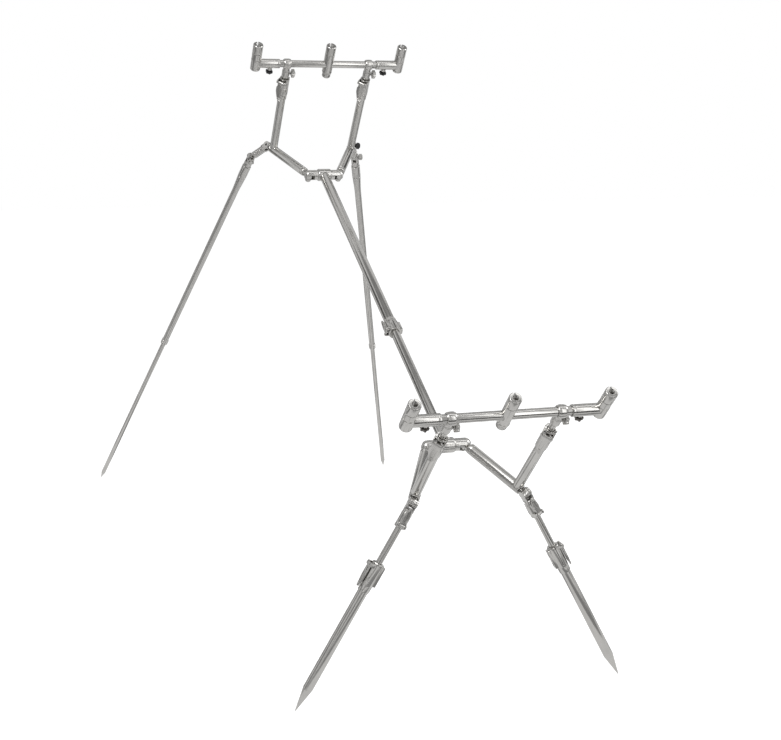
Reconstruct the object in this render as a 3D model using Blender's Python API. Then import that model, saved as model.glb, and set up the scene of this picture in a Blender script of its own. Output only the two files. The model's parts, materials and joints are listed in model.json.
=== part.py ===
"""Three-rod carp rod pod: sloping telescopic centre bar, a V of arms, uprights and legs at each end."""
import bpy
import bmesh
from math import atan2, cos, pi, radians, sin
from mathutils import Matrix, Vector

for old in list(bpy.data.objects):
    bpy.data.objects.remove(old, do_unlink=True)

# ---------------------------------------------------------------- driving sizes, metres
# Overall layout
BAR_SLOPE = radians(30.1)       # centre bar above the horizontal
BAR_LENGTH = 0.955              # front yoke centre to back yoke centre
FRONT_YOKE_HEIGHT = 0.432       # front yoke centre above the ground
ARM_HALF_GAP = 0.036            # hinge bolt from the middle of a yoke
ARM_LENGTH = 0.134              # hinge bolt to the foot of the upright
ARM_SPLAY = radians(26.0)       # arm away from the centre bar's line
UPRIGHT_REACH = 0.244           # foot of the upright to the rod bar's axis
ROD_SPACING = 0.166             # middle rod rest to an end rod rest
UPRIGHT_LEAN = {"back": radians(10.0), "front": radians(17.5)}
POST_SHOWING = {"back": 0.038, "front": 0.052}

# Tubes, outer radii
OUTER_TUBE_R = 0.0110
INNER_TUBE_R = 0.0090
ARM_R = 0.0100
UPRIGHT_R = 0.0090
POST_R = 0.0060
ROD_BAR_R = 0.0080
SLEEVE_R = ROD_BAR_R + 0.0023
REST_R = ROD_BAR_R + 0.0031
BACK_LEG_R = 0.0080
BACK_SPIKE_R = 0.0060
FRONT_ROD_R = 0.0058
FRONT_SPIKE_R = 0.0090
TUBE_WALL = 0.0012

# Clearances
SEAT = 0.0003                   # between pieces that touch
SLIP = 0.0003                   # round a sliding or turning piece

# Centre bar
OUTER_TUBE_LENGTH = 0.6157      # from its mouth to its seat in the back yoke
INNER_TUBE_INSIDE = 0.200       # length of the inner tube kept in the outer one
MAIN_COLLAR_R = 0.0138
MAIN_COLLAR_LENGTH = 0.040
COLLAR_LIP = 0.0060             # collar beyond the outer tube's mouth

# Yokes
JAW_R = 0.0115                  # rounded end of a yoke round each hinge bolt
YOKE_MIDDLE_R = 0.0140
YOKE_MIDDLE_HALF = 0.0160
YOKE_SLOT_R = 0.0165
SEAT_IN_YOKE = 0.0060           # centre tubes' ends beyond a yoke's centre
EYE_HALF = 0.0050               # half the thickness of an arm's hinge eye
EYE_R = 0.0102
BOLT_R = 0.0030
BOLT_HEAD_R = 0.0065
BOLT_HEAD_HEIGHT = 0.0050

# Flip-lever clamps
CLAMP_R = 0.0115
CLAMP_LENGTH = 0.056
CLAMP_TURN = radians(40.0)      # upright clamps turned towards the pod's left
LEVER_PIN_LIFT = 0.0035         # lever pin above the collar's surface
LEVER_PIN_BACK = 0.0065         # lever pin behind the collar's mouth
LEVER_PIN_R = 0.0016
LEVER_BARREL_R = 0.0029
EAR_THICKNESS = 0.0026
LEVER_FLARE = 0.0022
WIDE_LEVER = 0.0080             # half widths
NARROW_LEVER = 0.0055
UPRIGHT_LEVER_LENGTH = 0.050
LEG_LEVER_LENGTH = 0.044
SHORT_LEVER_LENGTH = 0.034

# Posts, cradles and rod bars
POST_INSIDE = 0.085             # post length held in the upright
CRADLE_R = ROD_BAR_R + 0.0035
CRADLE_HALF = 0.0080
NECK_R = 0.0085
POST_SEAT = 0.0120              # post socket's floor below the rod bar's axis
NECK_LENGTH = 0.0345
POST_KNOB_DROP = 0.0260         # cradle knob's axis below the rod bar's axis
ROD_BAR_HALF = 0.148
SLEEVE_START = 0.112            # sleeve's inner end from the middle
SLEEVE_KNOB_X = 0.133
SLEEVE_BOSS_R = 0.0050
SLEEVE_BOSS_DROP = 0.0160       # screw boss below the sleeve's axis
REST_TOP = 0.050                # rod rest's top above the bar's axis
REST_FLAT = REST_R - 0.0008      # half the width across a rest's front and rear flats
END_REST_BOTTOM = 0.016
MIDDLE_REST_BOTTOM = 0.022
MIDDLE_NUT_HEIGHT = 0.011
SOCKET_R = 0.00475
SOCKET_DEPTH = 0.028
SPLIT_WIDTH = 0.0030
SPLIT_DEPTH = 0.020
SCREW_R = 0.0020
POST_KNOB_R = 0.0098
SLEEVE_KNOB_R = 0.0082
PIVOT_KNOB_R = 0.0080
KNOB_HEIGHT = 0.0090

# Knuckles
KNUCKLE_REACH = 0.020           # pivot beyond the foot of the upright
KNUCKLE_R = 0.0085
KNUCKLE_HALF = 0.0040
KNUCKLE_PIN_R = 0.0025
CHEEK_HALF = 0.0085
CHEEK_LENGTH = 0.0150            # fork's cheeks and web from the pivot
SLOT_LENGTH = 0.0108             # fork's slot from the pivot
TONGUE_HALF = 0.0066
LINK_LENGTH = 0.055
LINK_DROP = radians(30.0)
LINK_TURN = {"left": radians(50.0), "right": radians(23.0)}

# Legs: where each point stands on the ground
LEG_POINT = {
    ("back", "left"): (-0.438, 1.880),
    ("back", "right"): (0.422, 1.747),
    ("front", "left"): (-0.305, -0.074),
    ("front", "right"): (0.301, -0.097),
}
BACK_LEG_LENGTH = 0.700
BACK_SPIKE_LENGTH = 0.760
BACK_POINT_LENGTH = 0.026
LEG_CLAMP_R = 0.0100
LEG_CLAMP_LENGTH = 0.048
FRONT_SPIKE_LENGTH = 0.298
FRONT_POINT_LENGTH = 0.044
FRONT_ROD_INSIDE = 0.130        # thin rod length kept in the spike tube
ROD_FOOT = 0.0180               # thin rod's upper end from the leg clamp's pivot

ROUND = 16                      # sides of a large round piece
FINE = 12                       # sides of a small round piece
PIN = 8                         # sides of a pin or screw
MERGE = 0.00001                 # points closer than this are one
SIDES = {"left": -1, "right": 1}
ENDS = {"back": 1, "front": -1}

X = Vector((1, 0, 0))
Z = Vector((0, 0, 1))


def along(angle):
    """Unit vector in the YZ plane, raised by angle from +Y."""
    return Vector((0, cos(angle), sin(angle)))


def frame(origin, z_axis, x_hint):
    """Placement whose Z runs along z_axis and whose X is as near as can be to x_hint."""
    z = Vector(z_axis).normalized()
    x = Vector(x_hint)
    x = (x - z * x.dot(z)).normalized()
    placed = Matrix((x, z.cross(x), z)).transposed().to_4x4()
    placed.translation = Vector(origin)
    return placed


def shift(x=0.0, y=0.0, z=0.0):
    return Matrix.Translation((x, y, z))


ALONG_X = Matrix.Rotation(pi / 2, 4, "Y")


# ---------------------------------------------------------------- solids
def to_mesh(bm, at):
    bmesh.ops.remove_doubles(bm, verts=bm.verts, dist=1e-7)
    bmesh.ops.recalc_face_normals(bm, faces=bm.faces)
    bmesh.ops.transform(bm, matrix=at, verts=bm.verts)
    mesh = bpy.data.meshes.new("solid")
    bm.to_mesh(mesh)
    bm.free()
    return mesh


def turned(profile, sides=ROUND, at=Matrix()):
    """Solid turned about Z from an outline of (radius, height) points."""
    bm = bmesh.new()
    points = [bm.verts.new((r, 0, z)) for r, z in profile]
    edges = [bm.edges.new(pair) for pair in zip(points, points[1:])]
    if profile[0][0] > 0:
        edges.append(bm.edges.new((points[-1], points[0])))
    bmesh.ops.spin(bm, geom=points + edges, cent=(0, 0, 0), axis=(0, 0, 1), angle=2 * pi, steps=sides)
    bmesh.ops.remove_doubles(bm, verts=bm.verts, dist=1e-6)
    bm.normal_update()
    hubs = [v for v in bm.verts
            if v.co.xy.length < 1e-6 and all(abs(f.normal.z) > 0.999 for f in v.link_faces)]
    bmesh.ops.dissolve_verts(bm, verts=hubs)
    return to_mesh(bm, at)


def rod(radius, low, high, sides=ROUND, at=Matrix(), chamfer=0.0):
    """Solid cylinder on Z from low to high, its rims chamfered."""
    if chamfer:
        rim = [(radius - chamfer, low), (radius, low + chamfer),
               (radius, high - chamfer), (radius - chamfer, high)]
    else:
        rim = [(radius, low), (radius, high)]
    return turned([(0, low)] + rim + [(0, high)], sides, at)


def tube(radius, bore, low, high, sides=ROUND, at=Matrix()):
    """Open tube on Z with slightly broken outer rims."""
    rim = 0.0005
    return turned([(radius - rim, low), (radius, low + rim), (radius, high - rim), (radius - rim, high),
                   (bore, high), (bore, low)], sides, at)


def block(low, high, at=Matrix()):
    """Box between two corners."""
    bm = bmesh.new()
    size = Vector(high) - Vector(low)
    centre = (Vector(high) + Vector(low)) / 2
    bmesh.ops.create_cube(bm, size=1.0, matrix=Matrix.Translation(centre) @ Matrix.Diagonal((*size, 1)))
    return to_mesh(bm, at)


def plate(outline, low, high, at=Matrix()):
    """Flat outline in XY given a thickness from low to high in Z."""
    bm = bmesh.new()
    face = bm.faces.new([bm.verts.new((x, y, low)) for x, y in outline])
    grown = bmesh.ops.extrude_face_region(bm, geom=[face])["geom"]
    upper = [v for v in grown if isinstance(v, bmesh.types.BMVert)]
    bmesh.ops.translate(bm, vec=(0, 0, high - low), verts=upper)
    return to_mesh(bm, at)


def join(base, add=(), cut=(), pins=()):
    """Unite add with base, take cut away, then unite the pins."""
    body = bpy.data.objects.new("body", base)
    bpy.context.scene.collection.objects.link(body)
    helpers = []
    steps = [("UNION", m) for m in add] + [("DIFFERENCE", m) for m in cut] + [("UNION", m) for m in pins]
    for operation, mesh in steps:
        helper = bpy.data.objects.new("helper", mesh)
        helper.hide_render = True
        helper.display_type = "WIRE"
        bpy.context.scene.collection.objects.link(helper)
        helpers.append(helper)
        modifier = body.modifiers.new(operation, "BOOLEAN")
        modifier.operation = operation
        modifier.solver = "EXACT"
        modifier.object = helper
    bpy.context.view_layer.update()
    result = bpy.data.meshes.new_from_object(body.evaluated_get(bpy.context.evaluated_depsgraph_get()))
    for used in [body] + helpers:
        bpy.data.objects.remove(used, do_unlink=True)
    bm = bmesh.new()
    bm.from_mesh(result)
    bmesh.ops.remove_doubles(bm, verts=bm.verts, dist=MERGE)
    bmesh.ops.dissolve_degenerate(bm, edges=bm.edges, dist=MERGE)
    bmesh.ops.dissolve_limit(bm, angle_limit=radians(0.3), verts=bm.verts, edges=bm.edges)
    bmesh.ops.triangulate(bm, faces=bm.faces)
    bm.to_mesh(result)
    bm.free()
    return result


# ---------------------------------------------------------------- materials and nodes
def metal(name, colour, roughness, metallic=1.0):
    material = bpy.data.materials.new(name)
    material.use_nodes = True
    shader = material.node_tree.nodes["Principled BSDF"]
    shader.inputs["Base Color"].default_value = (*colour, 1)
    shader.inputs["Metallic"].default_value = metallic
    shader.inputs["Roughness"].default_value = roughness
    return material


PLACED = {}


def node(name, mesh, place, parent=None, colour=(0.62, 0.61, 0.59), roughness=0.22, metallic=1.0):
    """One piece of the pod, its origin at place, carried by its parent piece."""
    if not mesh.materials:
        mesh.name = name
        mesh.shade_smooth()
        mesh.set_sharp_from_angle(angle=radians(32))
        mesh.materials.append(None)
    piece = bpy.data.objects.new(name, mesh)
    bpy.context.scene.collection.objects.link(piece)
    if parent:
        piece.parent = bpy.data.objects[parent]
        piece.matrix_local = PLACED[parent].inverted() @ place
    else:
        piece.matrix_local = place
    PLACED[name] = place
    piece.material_slots[0].link = "OBJECT"
    piece.material_slots[0].material = metal(name + "_metal", colour, roughness, metallic)


# ---------------------------------------------------------------- repeated features
def clamp_blank(radius, length, half, at=Matrix()):
    """Collar ending at Z=0 with ears for a lever on its +Y side and a raised pad on its -Y side."""
    pin_y = radius + LEVER_PIN_LIFT
    ear_inner = half + 0.0004
    ear_outer = ear_inner + EAR_THICKNESS
    ears = []
    for side in (-1, 1):
        low_x, high_x = sorted((side * ear_inner, side * ear_outer))
        ears.append(block((low_x, 0.3 * radius, -LEVER_PIN_BACK - 0.0040),
                          (high_x, pin_y + 0.0026, -LEVER_PIN_BACK + 0.0040), at))
    pad = block((-0.0060, -radius - 0.0025, -0.75 * length), (0.0060, -0.5 * radius, -0.0030), at)
    collar = rod(radius, -length, 0, ROUND, at, chamfer=0.0010)
    return [collar, pad] + ears


def clamp_pin(radius, half, at=Matrix()):
    """Pin bridging the two ears."""
    reach = half + 0.0020
    across = at @ shift(0, radius + LEVER_PIN_LIFT, -LEVER_PIN_BACK) @ ALONG_X
    return rod(LEVER_PIN_R, -reach, reach, PIN, across)


def lever(length, half, flare):
    """Tapering faceted flip lever hanging from its pin barrel; X is the pin's axis."""
    wide = half + flare
    outline = [(-half, -0.0004), (-half, -0.0110), (-wide, -0.0135), (-wide, -0.50 * length),
               (-0.60 * half, -0.92 * length), (-0.40 * half, -length),
               (0.40 * half, -length), (0.60 * half, -0.92 * length),
               (wide, -0.50 * length), (wide, -0.0135), (half, -0.0110), (half, -0.0004)]
    standing = Matrix.Rotation(pi / 2, 4, "X")
    arm = plate(outline, -0.0011, LEVER_BARREL_R - 0.0003, standing)
    barrel = rod(LEVER_BARREL_R, -half + 0.0002, half - 0.0002, FINE, ALONG_X)
    hole = rod(LEVER_PIN_R + SLIP, -0.02, 0.02, PIN, ALONG_X)
    tip = block((-0.02, -0.02, -2 * length), (0.02, -0.0013, -0.80 * length))
    return join(arm, [barrel], [hole, tip])


def lever_place(clamp, radius):
    return clamp @ shift(0, radius + LEVER_PIN_LIFT, -LEVER_PIN_BACK)


def knob(screw, radius, height=KNOB_HEIGHT, gap=0.0010, screw_radius=SCREW_R, lobes=6):
    """Lobed thumb knob above Z=gap with its screw going down to Z=-screw."""
    outline = []
    for step in range(2 * lobes):
        turn = pi * step / lobes
        outline.append((turn, radius * (1 - 0.11 * (1 + cos(lobes * turn)))))
    grip = plate([(r * cos(t), r * sin(t)) for t, r in outline], gap + 0.0020, gap + height)
    stem = turned([(0, -screw), (screw_radius, -screw), (screw_radius, gap), (0.0046, gap),
                   (0.0046, gap + height + 0.0016), (0, gap + height + 0.0016)], PIN)
    return join(grip, [stem])


def eye(at, reach, reach_along, hole=KNUCKLE_PIN_R + SLIP):
    """Hinge eye about the placement's X, with its tongue running back reach_along from the eye."""
    disc = rod(KNUCKLE_R, -KNUCKLE_HALF, KNUCKLE_HALF, ROUND, at @ ALONG_X)
    back = frame((0, 0, 0), reach_along, (1, 0, 0))
    half = KNUCKLE_HALF - 0.0003
    tongue = block((-half, -TONGUE_HALF, 0), (half, TONGUE_HALF, reach), at @ back)
    bore = rod(hole, -0.02, 0.02, PIN, at @ ALONG_X)
    return [disc, tongue], bore


def fork():
    """Two cheeks about X opening towards -Z, joined to a body that starts up the Z axis."""
    blank = rod(KNUCKLE_R, -CHEEK_HALF, CHEEK_HALF, ROUND, ALONG_X)
    web_half = TONGUE_HALF + 0.0002
    web = block((-CHEEK_HALF + 0.0003, -web_half, 0), (CHEEK_HALF - 0.0003, web_half, CHEEK_LENGTH))
    gap = KNUCKLE_HALF + SLIP
    slot = block((-gap, -0.03, -0.03), (gap, 0.03, SLOT_LENGTH))
    pin = rod(KNUCKLE_PIN_R, -CHEEK_HALF + 0.0010, CHEEK_HALF - 0.0010, PIN, ALONG_X)
    hole = rod(KNUCKLE_PIN_R + SLIP, -0.03, 0.03, PIN, ALONG_X)
    return [blank, web], slot, pin, hole


def pivot_axis(first, second):
    """Common normal of two members, pointing to the pod's right or, failing that, its front."""
    axis = first.cross(second).normalized()
    heading = axis.x if abs(axis.x) > 0.3 else -axis.y
    return axis if heading > 0 else -axis


# ---------------------------------------------------------------- centre bar
bar_dir = along(BAR_SLOPE)
front_yoke_at = Z * FRONT_YOKE_HEIGHT
back_yoke_at = front_yoke_at + bar_dir * BAR_LENGTH
mouth_at = back_yoke_at - bar_dir * (OUTER_TUBE_LENGTH - SEAT_IN_YOKE + SEAT)
mouth = frame(mouth_at, bar_dir, X)

node("main_outer_tube", tube(OUTER_TUBE_R, INNER_TUBE_R + SLIP, 0, OUTER_TUBE_LENGTH), mouth)

inner_length = (mouth_at - front_yoke_at).length + SEAT_IN_YOKE - SEAT + INNER_TUBE_INSIDE
inner_place = frame(front_yoke_at - bar_dir * (SEAT_IN_YOKE - SEAT), bar_dir, X)
node("main_inner_tube", tube(INNER_TUBE_R, INNER_TUBE_R - TUBE_WALL, 0, inner_length), inner_place,
     "main_outer_tube")

main_clamp = frame(mouth_at - bar_dir * (COLLAR_LIP + SEAT), -bar_dir, (0, -sin(BAR_SLOPE), cos(BAR_SLOPE)))
collar_parts = clamp_blank(MAIN_COLLAR_R, MAIN_COLLAR_LENGTH, NARROW_LEVER)
collar = join(collar_parts[0], collar_parts[1:],
              [rod(OUTER_TUBE_R + SEAT, -0.1, -COLLAR_LIP), rod(INNER_TUBE_R + SLIP, -0.1, 0.1)],
              [clamp_pin(MAIN_COLLAR_R, NARROW_LEVER)])
node("main_clamp_collar", collar, main_clamp, "main_outer_tube")
upright_lever = lever(UPRIGHT_LEVER_LENGTH, WIDE_LEVER, LEVER_FLARE)
leg_lever = lever(LEG_LEVER_LENGTH, NARROW_LEVER, 0.0005)
short_lever = lever(SHORT_LEVER_LENGTH, NARROW_LEVER, 0.0005)
node("main_clamp_lever", short_lever, lever_place(main_clamp, MAIN_COLLAR_R), "main_clamp_collar")


# ---------------------------------------------------------------- yokes
def yoke(lean, tube_r, tube_side):
    """Cross head along X: slotted rounded ends with the arms' hinge bolts and a seat for the centre bar."""
    steps = 3
    cap = [(JAW_R * sin(pi / 2 * i / steps), JAW_R * cos(pi / 2 * i / steps)) for i in range(steps + 1)]
    profile = [(r, -ARM_HALF_GAP - h) for r, h in cap] + [(r, ARM_HALF_GAP + h) for r, h in reversed(cap)]
    body = turned(profile, ROUND, ALONG_X)
    middle = rod(YOKE_MIDDLE_R, -YOKE_MIDDLE_HALF, YOKE_MIDDLE_HALF, ROUND, ALONG_X, chamfer=0.0020)
    add = [middle]
    cut = []
    for side in SIDES.values():
        hinge = shift(side * ARM_HALF_GAP)
        add.append(rod(BOLT_HEAD_R + 0.0006, -JAW_R - 0.0010, -EYE_HALF - 0.0010, FINE, hinge))
        cut.append(rod(YOKE_SLOT_R, -EYE_HALF - SLIP, EYE_HALF + SLIP, ROUND, hinge))
    bar = frame((0, 0, 0), Vector((0, cos(lean), -sin(lean))) * tube_side, X)
    cut.append(rod(tube_r + SEAT, -SEAT_IN_YOKE, 0.05, ROUND, bar))
    under = -JAW_R - 0.0008
    bolt = [(0, under - BOLT_HEAD_HEIGHT), (0.0046, under - BOLT_HEAD_HEIGHT),
            (BOLT_HEAD_R, under - BOLT_HEAD_HEIGHT + 0.0020), (BOLT_HEAD_R, under), (BOLT_R, under),
            (BOLT_R, EYE_HALF + 0.0030), (0, EYE_HALF + 0.0030)]
    bolts = [turned(bolt, FINE, shift(side * ARM_HALF_GAP)) for side in SIDES.values()]
    return join(body, add, cut, bolts)


# ---------------------------------------------------------------- arms and uprights
def side_frame(end, arm_local, knuckle_place):
    """Arm with its hinge eye, the upright welded to it, the upright's clamp and the leg knuckle's eye."""
    top = UPRIGHT_REACH - POST_SHOWING[end]
    foot = arm_local * ARM_LENGTH
    arm = frame((0, 0, 0), arm_local, X)
    upright = Matrix.Translation(foot)
    clamp = Matrix.Translation(foot + Z * top) @ Matrix.Rotation(pi - CLAMP_TURN, 4, "Z")
    hinge_eye = rod(EYE_R, -EYE_HALF, EYE_HALF)
    flat = Vector((arm_local.x, arm_local.y, 0))
    neck = block((-EYE_HALF + 0.0010, -TONGUE_HALF, 0), (EYE_HALF - 0.0010, TONGUE_HALF, 0.0170),
                 frame((0, 0, 0), flat, Z))
    arm_end = ARM_LENGTH + KNUCKLE_REACH - KNUCKLE_R - 0.0020
    arm_tube = rod(ARM_R, 0.0135, arm_end, ROUND, arm, chamfer=0.0015)
    upright_tube = rod(UPRIGHT_R, 0, top - 0.0050, ROUND, upright)
    leg_eye, leg_hole = eye(knuckle_place, KNUCKLE_REACH, knuckle_place.to_3x3().inverted() @ -arm_local)
    cut = [rod(ARM_R - TUBE_WALL, 0.0220, arm_end - 0.0030, ROUND, arm),
           rod(UPRIGHT_R - TUBE_WALL, -0.0010, top - 0.0280, ROUND, upright),
           rod(POST_R + SLIP, top - 0.0300, top + 0.02, ROUND, upright),
           rod(BOLT_R + SLIP, -0.02, 0.02, FINE), leg_hole]
    blank = clamp_blank(CLAMP_R, CLAMP_LENGTH, WIDE_LEVER, clamp)
    return join(hinge_eye, [neck, arm_tube, upright_tube] + blank
                + leg_eye,
                cut, [clamp_pin(CLAMP_R, WIDE_LEVER, clamp)]), clamp


def post(end):
    """Round post held in the upright; its top sits in the cradle's socket."""
    low = -POST_SHOWING[end] - POST_INSIDE
    bore = POST_R - TUBE_WALL
    return turned([(0, -0.0200), (bore, -0.0200), (bore, low), (POST_R, low), (POST_R, -POST_SEAT - SEAT),
                   (0, -POST_SEAT - SEAT)], FINE)


def cradle():
    """Ring round the rod bar on a neck with a socket for the post and a side hole for the thumb screw."""
    neck = rod(NECK_R, -NECK_LENGTH, -0.0085, ROUND, chamfer=0.0010)
    ring = rod(CRADLE_R, -CRADLE_HALF, CRADLE_HALF, ROUND, ALONG_X, chamfer=0.0010)
    cut = [rod(ROD_BAR_R + SLIP, -0.05, 0.05, ROUND, ALONG_X), rod(POST_R + SLIP, -0.05, -POST_SEAT, FINE),
           rod(SCREW_R + SLIP, 0.0015, 0.03, PIN, shift(0, 0, -POST_KNOB_DROP) @ ALONG_X)]
    return join(ring, [neck], cut)


# ---------------------------------------------------------------- rod bars and rests
def rest(bottom):
    """Rod rest block with chamfered rims."""
    return turned([(0, -bottom), (REST_R - 0.0015, -bottom), (REST_R, -bottom + 0.0015),
                   (REST_R, REST_TOP - 0.0012), (REST_R - 0.0012, REST_TOP), (0, REST_TOP)])


def rest_cuts(flat_low):
    """Threaded socket's bore, the split down its rear wall and two side flats."""
    cuts = [rod(SOCKET_R, REST_TOP - SOCKET_DEPTH, REST_TOP + 0.02, FINE),
            block((-SPLIT_WIDTH / 2, 0, REST_TOP - SPLIT_DEPTH), (SPLIT_WIDTH / 2, 0.03, REST_TOP + 0.02))]
    for low, high in ((REST_FLAT, 0.03), (-0.03, -REST_FLAT)):
        cuts.append(block((-0.03, low, flat_low), (0.03, high, 0.0300)))
    return cuts


def bar_sleeve(side):
    """Sliding sleeve over the bar's end, welded to its rod rest."""
    inward = Matrix.Rotation(-side * pi / 2, 4, "Y")
    reach = ROD_SPACING - SLEEVE_START
    barrel = rod(SLEEVE_R, 0, reach, ROUND, inward, chamfer=0.0006)
    below = shift(-side * (ROD_SPACING - SLEEVE_KNOB_X)) @ Matrix.Rotation(pi, 4, "X")
    boss = rod(SLEEVE_BOSS_R, SLEEVE_R - 0.0010, SLEEVE_BOSS_DROP, FINE, below)
    cut = [rod(ROD_BAR_R + SLIP, 0.0170, 0.1, ROUND, inward), rod(SCREW_R + SLIP, 0, 0.03, PIN, below)]
    return join(rest(END_REST_BOTTOM), [barrel, boss], cut + rest_cuts(0.0115))


def middle_rest():
    """Middle rod rest with the bar through it and a screw hole below."""
    cut = [rod(ROD_BAR_R + SLIP, -0.05, 0.05, ROUND, ALONG_X), rod(BOLT_R + SLIP, -0.05, 0, FINE)]
    return join(rest(MIDDLE_REST_BOTTOM), (), cut + rest_cuts(-0.0175))


def middle_nut():
    """Clamping cap below the middle rest, its screw reaching up to the bar."""
    high = -MIDDLE_REST_BOTTOM - SEAT
    low = high - MIDDLE_NUT_HEIGHT
    return turned([(0, low), (0.0078, low), (0.0095, low + 0.0020), (0.0095, high - 0.0006), (0.0089, high),
                   (BOLT_R, high), (BOLT_R, -ROD_BAR_R - SEAT), (0, -ROD_BAR_R - SEAT)])


# ---------------------------------------------------------------- legs
def knuckle(turn_to_leg):
    """Link between the arm's eye and the leg: fork at the origin, eye at its far end."""
    add, slot, _, hole = fork()
    far_eye, far_hole = eye(shift(z=LINK_LENGTH) @ Matrix.Rotation(turn_to_leg, 4, "Z"), 0.0140, (0, 0, -1))
    body = rod(KNUCKLE_R, 0.0120, LINK_LENGTH - 0.0112, ROUND, chamfer=0.0010)
    return join(add[0], add[1:] + [body] + far_eye, [slot, hole, far_hole])


def back_leg():
    """Upper leg tube: forked top, two ringed collars, a taper and an end collar; open below."""
    add, slot, _, hole = fork()
    bore = BACK_SPIKE_R + SLIP
    body = turned([(0, 0.0120), (0.0088, 0.0120), (0.0094, 0.0140), (0.0094, 0.0250), (0.0085, 0.0256),
                   (0.0085, 0.0264), (0.0104, 0.0270), (0.0104, 0.0600), (0.0094, 0.0606), (0.0094, 0.0614),
                   (0.0102, 0.0620), (BACK_LEG_R, 0.1050), (BACK_LEG_R, BACK_LEG_LENGTH - 0.0160),
                   (0.0093, BACK_LEG_LENGTH - 0.0150), (0.0093, BACK_LEG_LENGTH - 0.0010),
                   (0.0083, BACK_LEG_LENGTH), (bore, BACK_LEG_LENGTH), (bore, 0.0300), (0, 0.0300)])
    return join(add[0], add[1:] + [body], [slot, hole])


def spike(radius, length, point, bore, bore_end):
    """Pointed tube hanging below Z=0, open at its top."""
    return turned([(0, -length), (radius, -length + point), (radius, 0),
                   (bore, 0), (bore, -bore_end), (0, -bore_end)])


def leg_clamp():
    """Forked clamp that holds the thin leg rod; its mouth faces up the Z axis."""
    add, slot, pin, _ = fork()
    clamp = shift(z=LEG_CLAMP_LENGTH)
    parts = clamp_blank(LEG_CLAMP_R, LEG_CLAMP_LENGTH - 0.0125, NARROW_LEVER, clamp)
    bore = rod(FRONT_ROD_R + SLIP, ROD_FOOT - 0.0015, 0.1, FINE)
    pins = [pin, clamp_pin(LEG_CLAMP_R, NARROW_LEVER, clamp)]
    return join(add[0], add[1:] + parts, [slot, bore], pins), clamp


def front_spike():
    """Spike tube with its own clamp collar, hanging below its mouth at Z=0."""
    parts = clamp_blank(CLAMP_R, CLAMP_LENGTH, NARROW_LEVER)
    body = turned([(0, -FRONT_SPIKE_LENGTH), (FRONT_SPIKE_R, -FRONT_SPIKE_LENGTH + FRONT_POINT_LENGTH),
                   (FRONT_SPIKE_R, -0.0020), (0, -0.0020)])
    cut = [rod(FRONT_ROD_R + SLIP, -0.0320, 0.02),
           rod(FRONT_SPIKE_R - TUBE_WALL, -FRONT_SPIKE_LENGTH + FRONT_POINT_LENGTH, -0.0300)]
    return join(body, parts, cut, [clamp_pin(CLAMP_R, NARROW_LEVER)])


# ---------------------------------------------------------------- assembly
cradle_mesh = cradle()
cradle_knob_mesh = knob(NECK_R - POST_R - 0.0005, POST_KNOB_R, gap=0.0025)
sleeve_knob_mesh = knob(SLEEVE_BOSS_DROP - ROD_BAR_R - 0.0005, SLEEVE_KNOB_R, 0.0080, SEAT)
pivot_knob_mesh = knob(2 * CHEEK_HALF, PIVOT_KNOB_R, gap=SEAT, screw_radius=KNUCKLE_PIN_R, lobes=5)
middle_rest_mesh = middle_rest()
middle_nut_mesh = middle_nut()
rod_bar_mesh = tube(ROD_BAR_R, ROD_BAR_R - TUBE_WALL, -ROD_BAR_HALF, ROD_BAR_HALF, ROUND, ALONG_X)
back_leg_mesh = back_leg()
back_spike_mesh = spike(BACK_SPIKE_R, BACK_SPIKE_LENGTH, BACK_POINT_LENGTH, BACK_SPIKE_R - TUBE_WALL,
                        BACK_SPIKE_LENGTH - BACK_POINT_LENGTH - 0.01)
leg_clamp_mesh, leg_clamp_mouth = leg_clamp()
front_spike_mesh = front_spike()
sleeve_meshes = {side: bar_sleeve(SIDES[side]) for side in SIDES}

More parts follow.
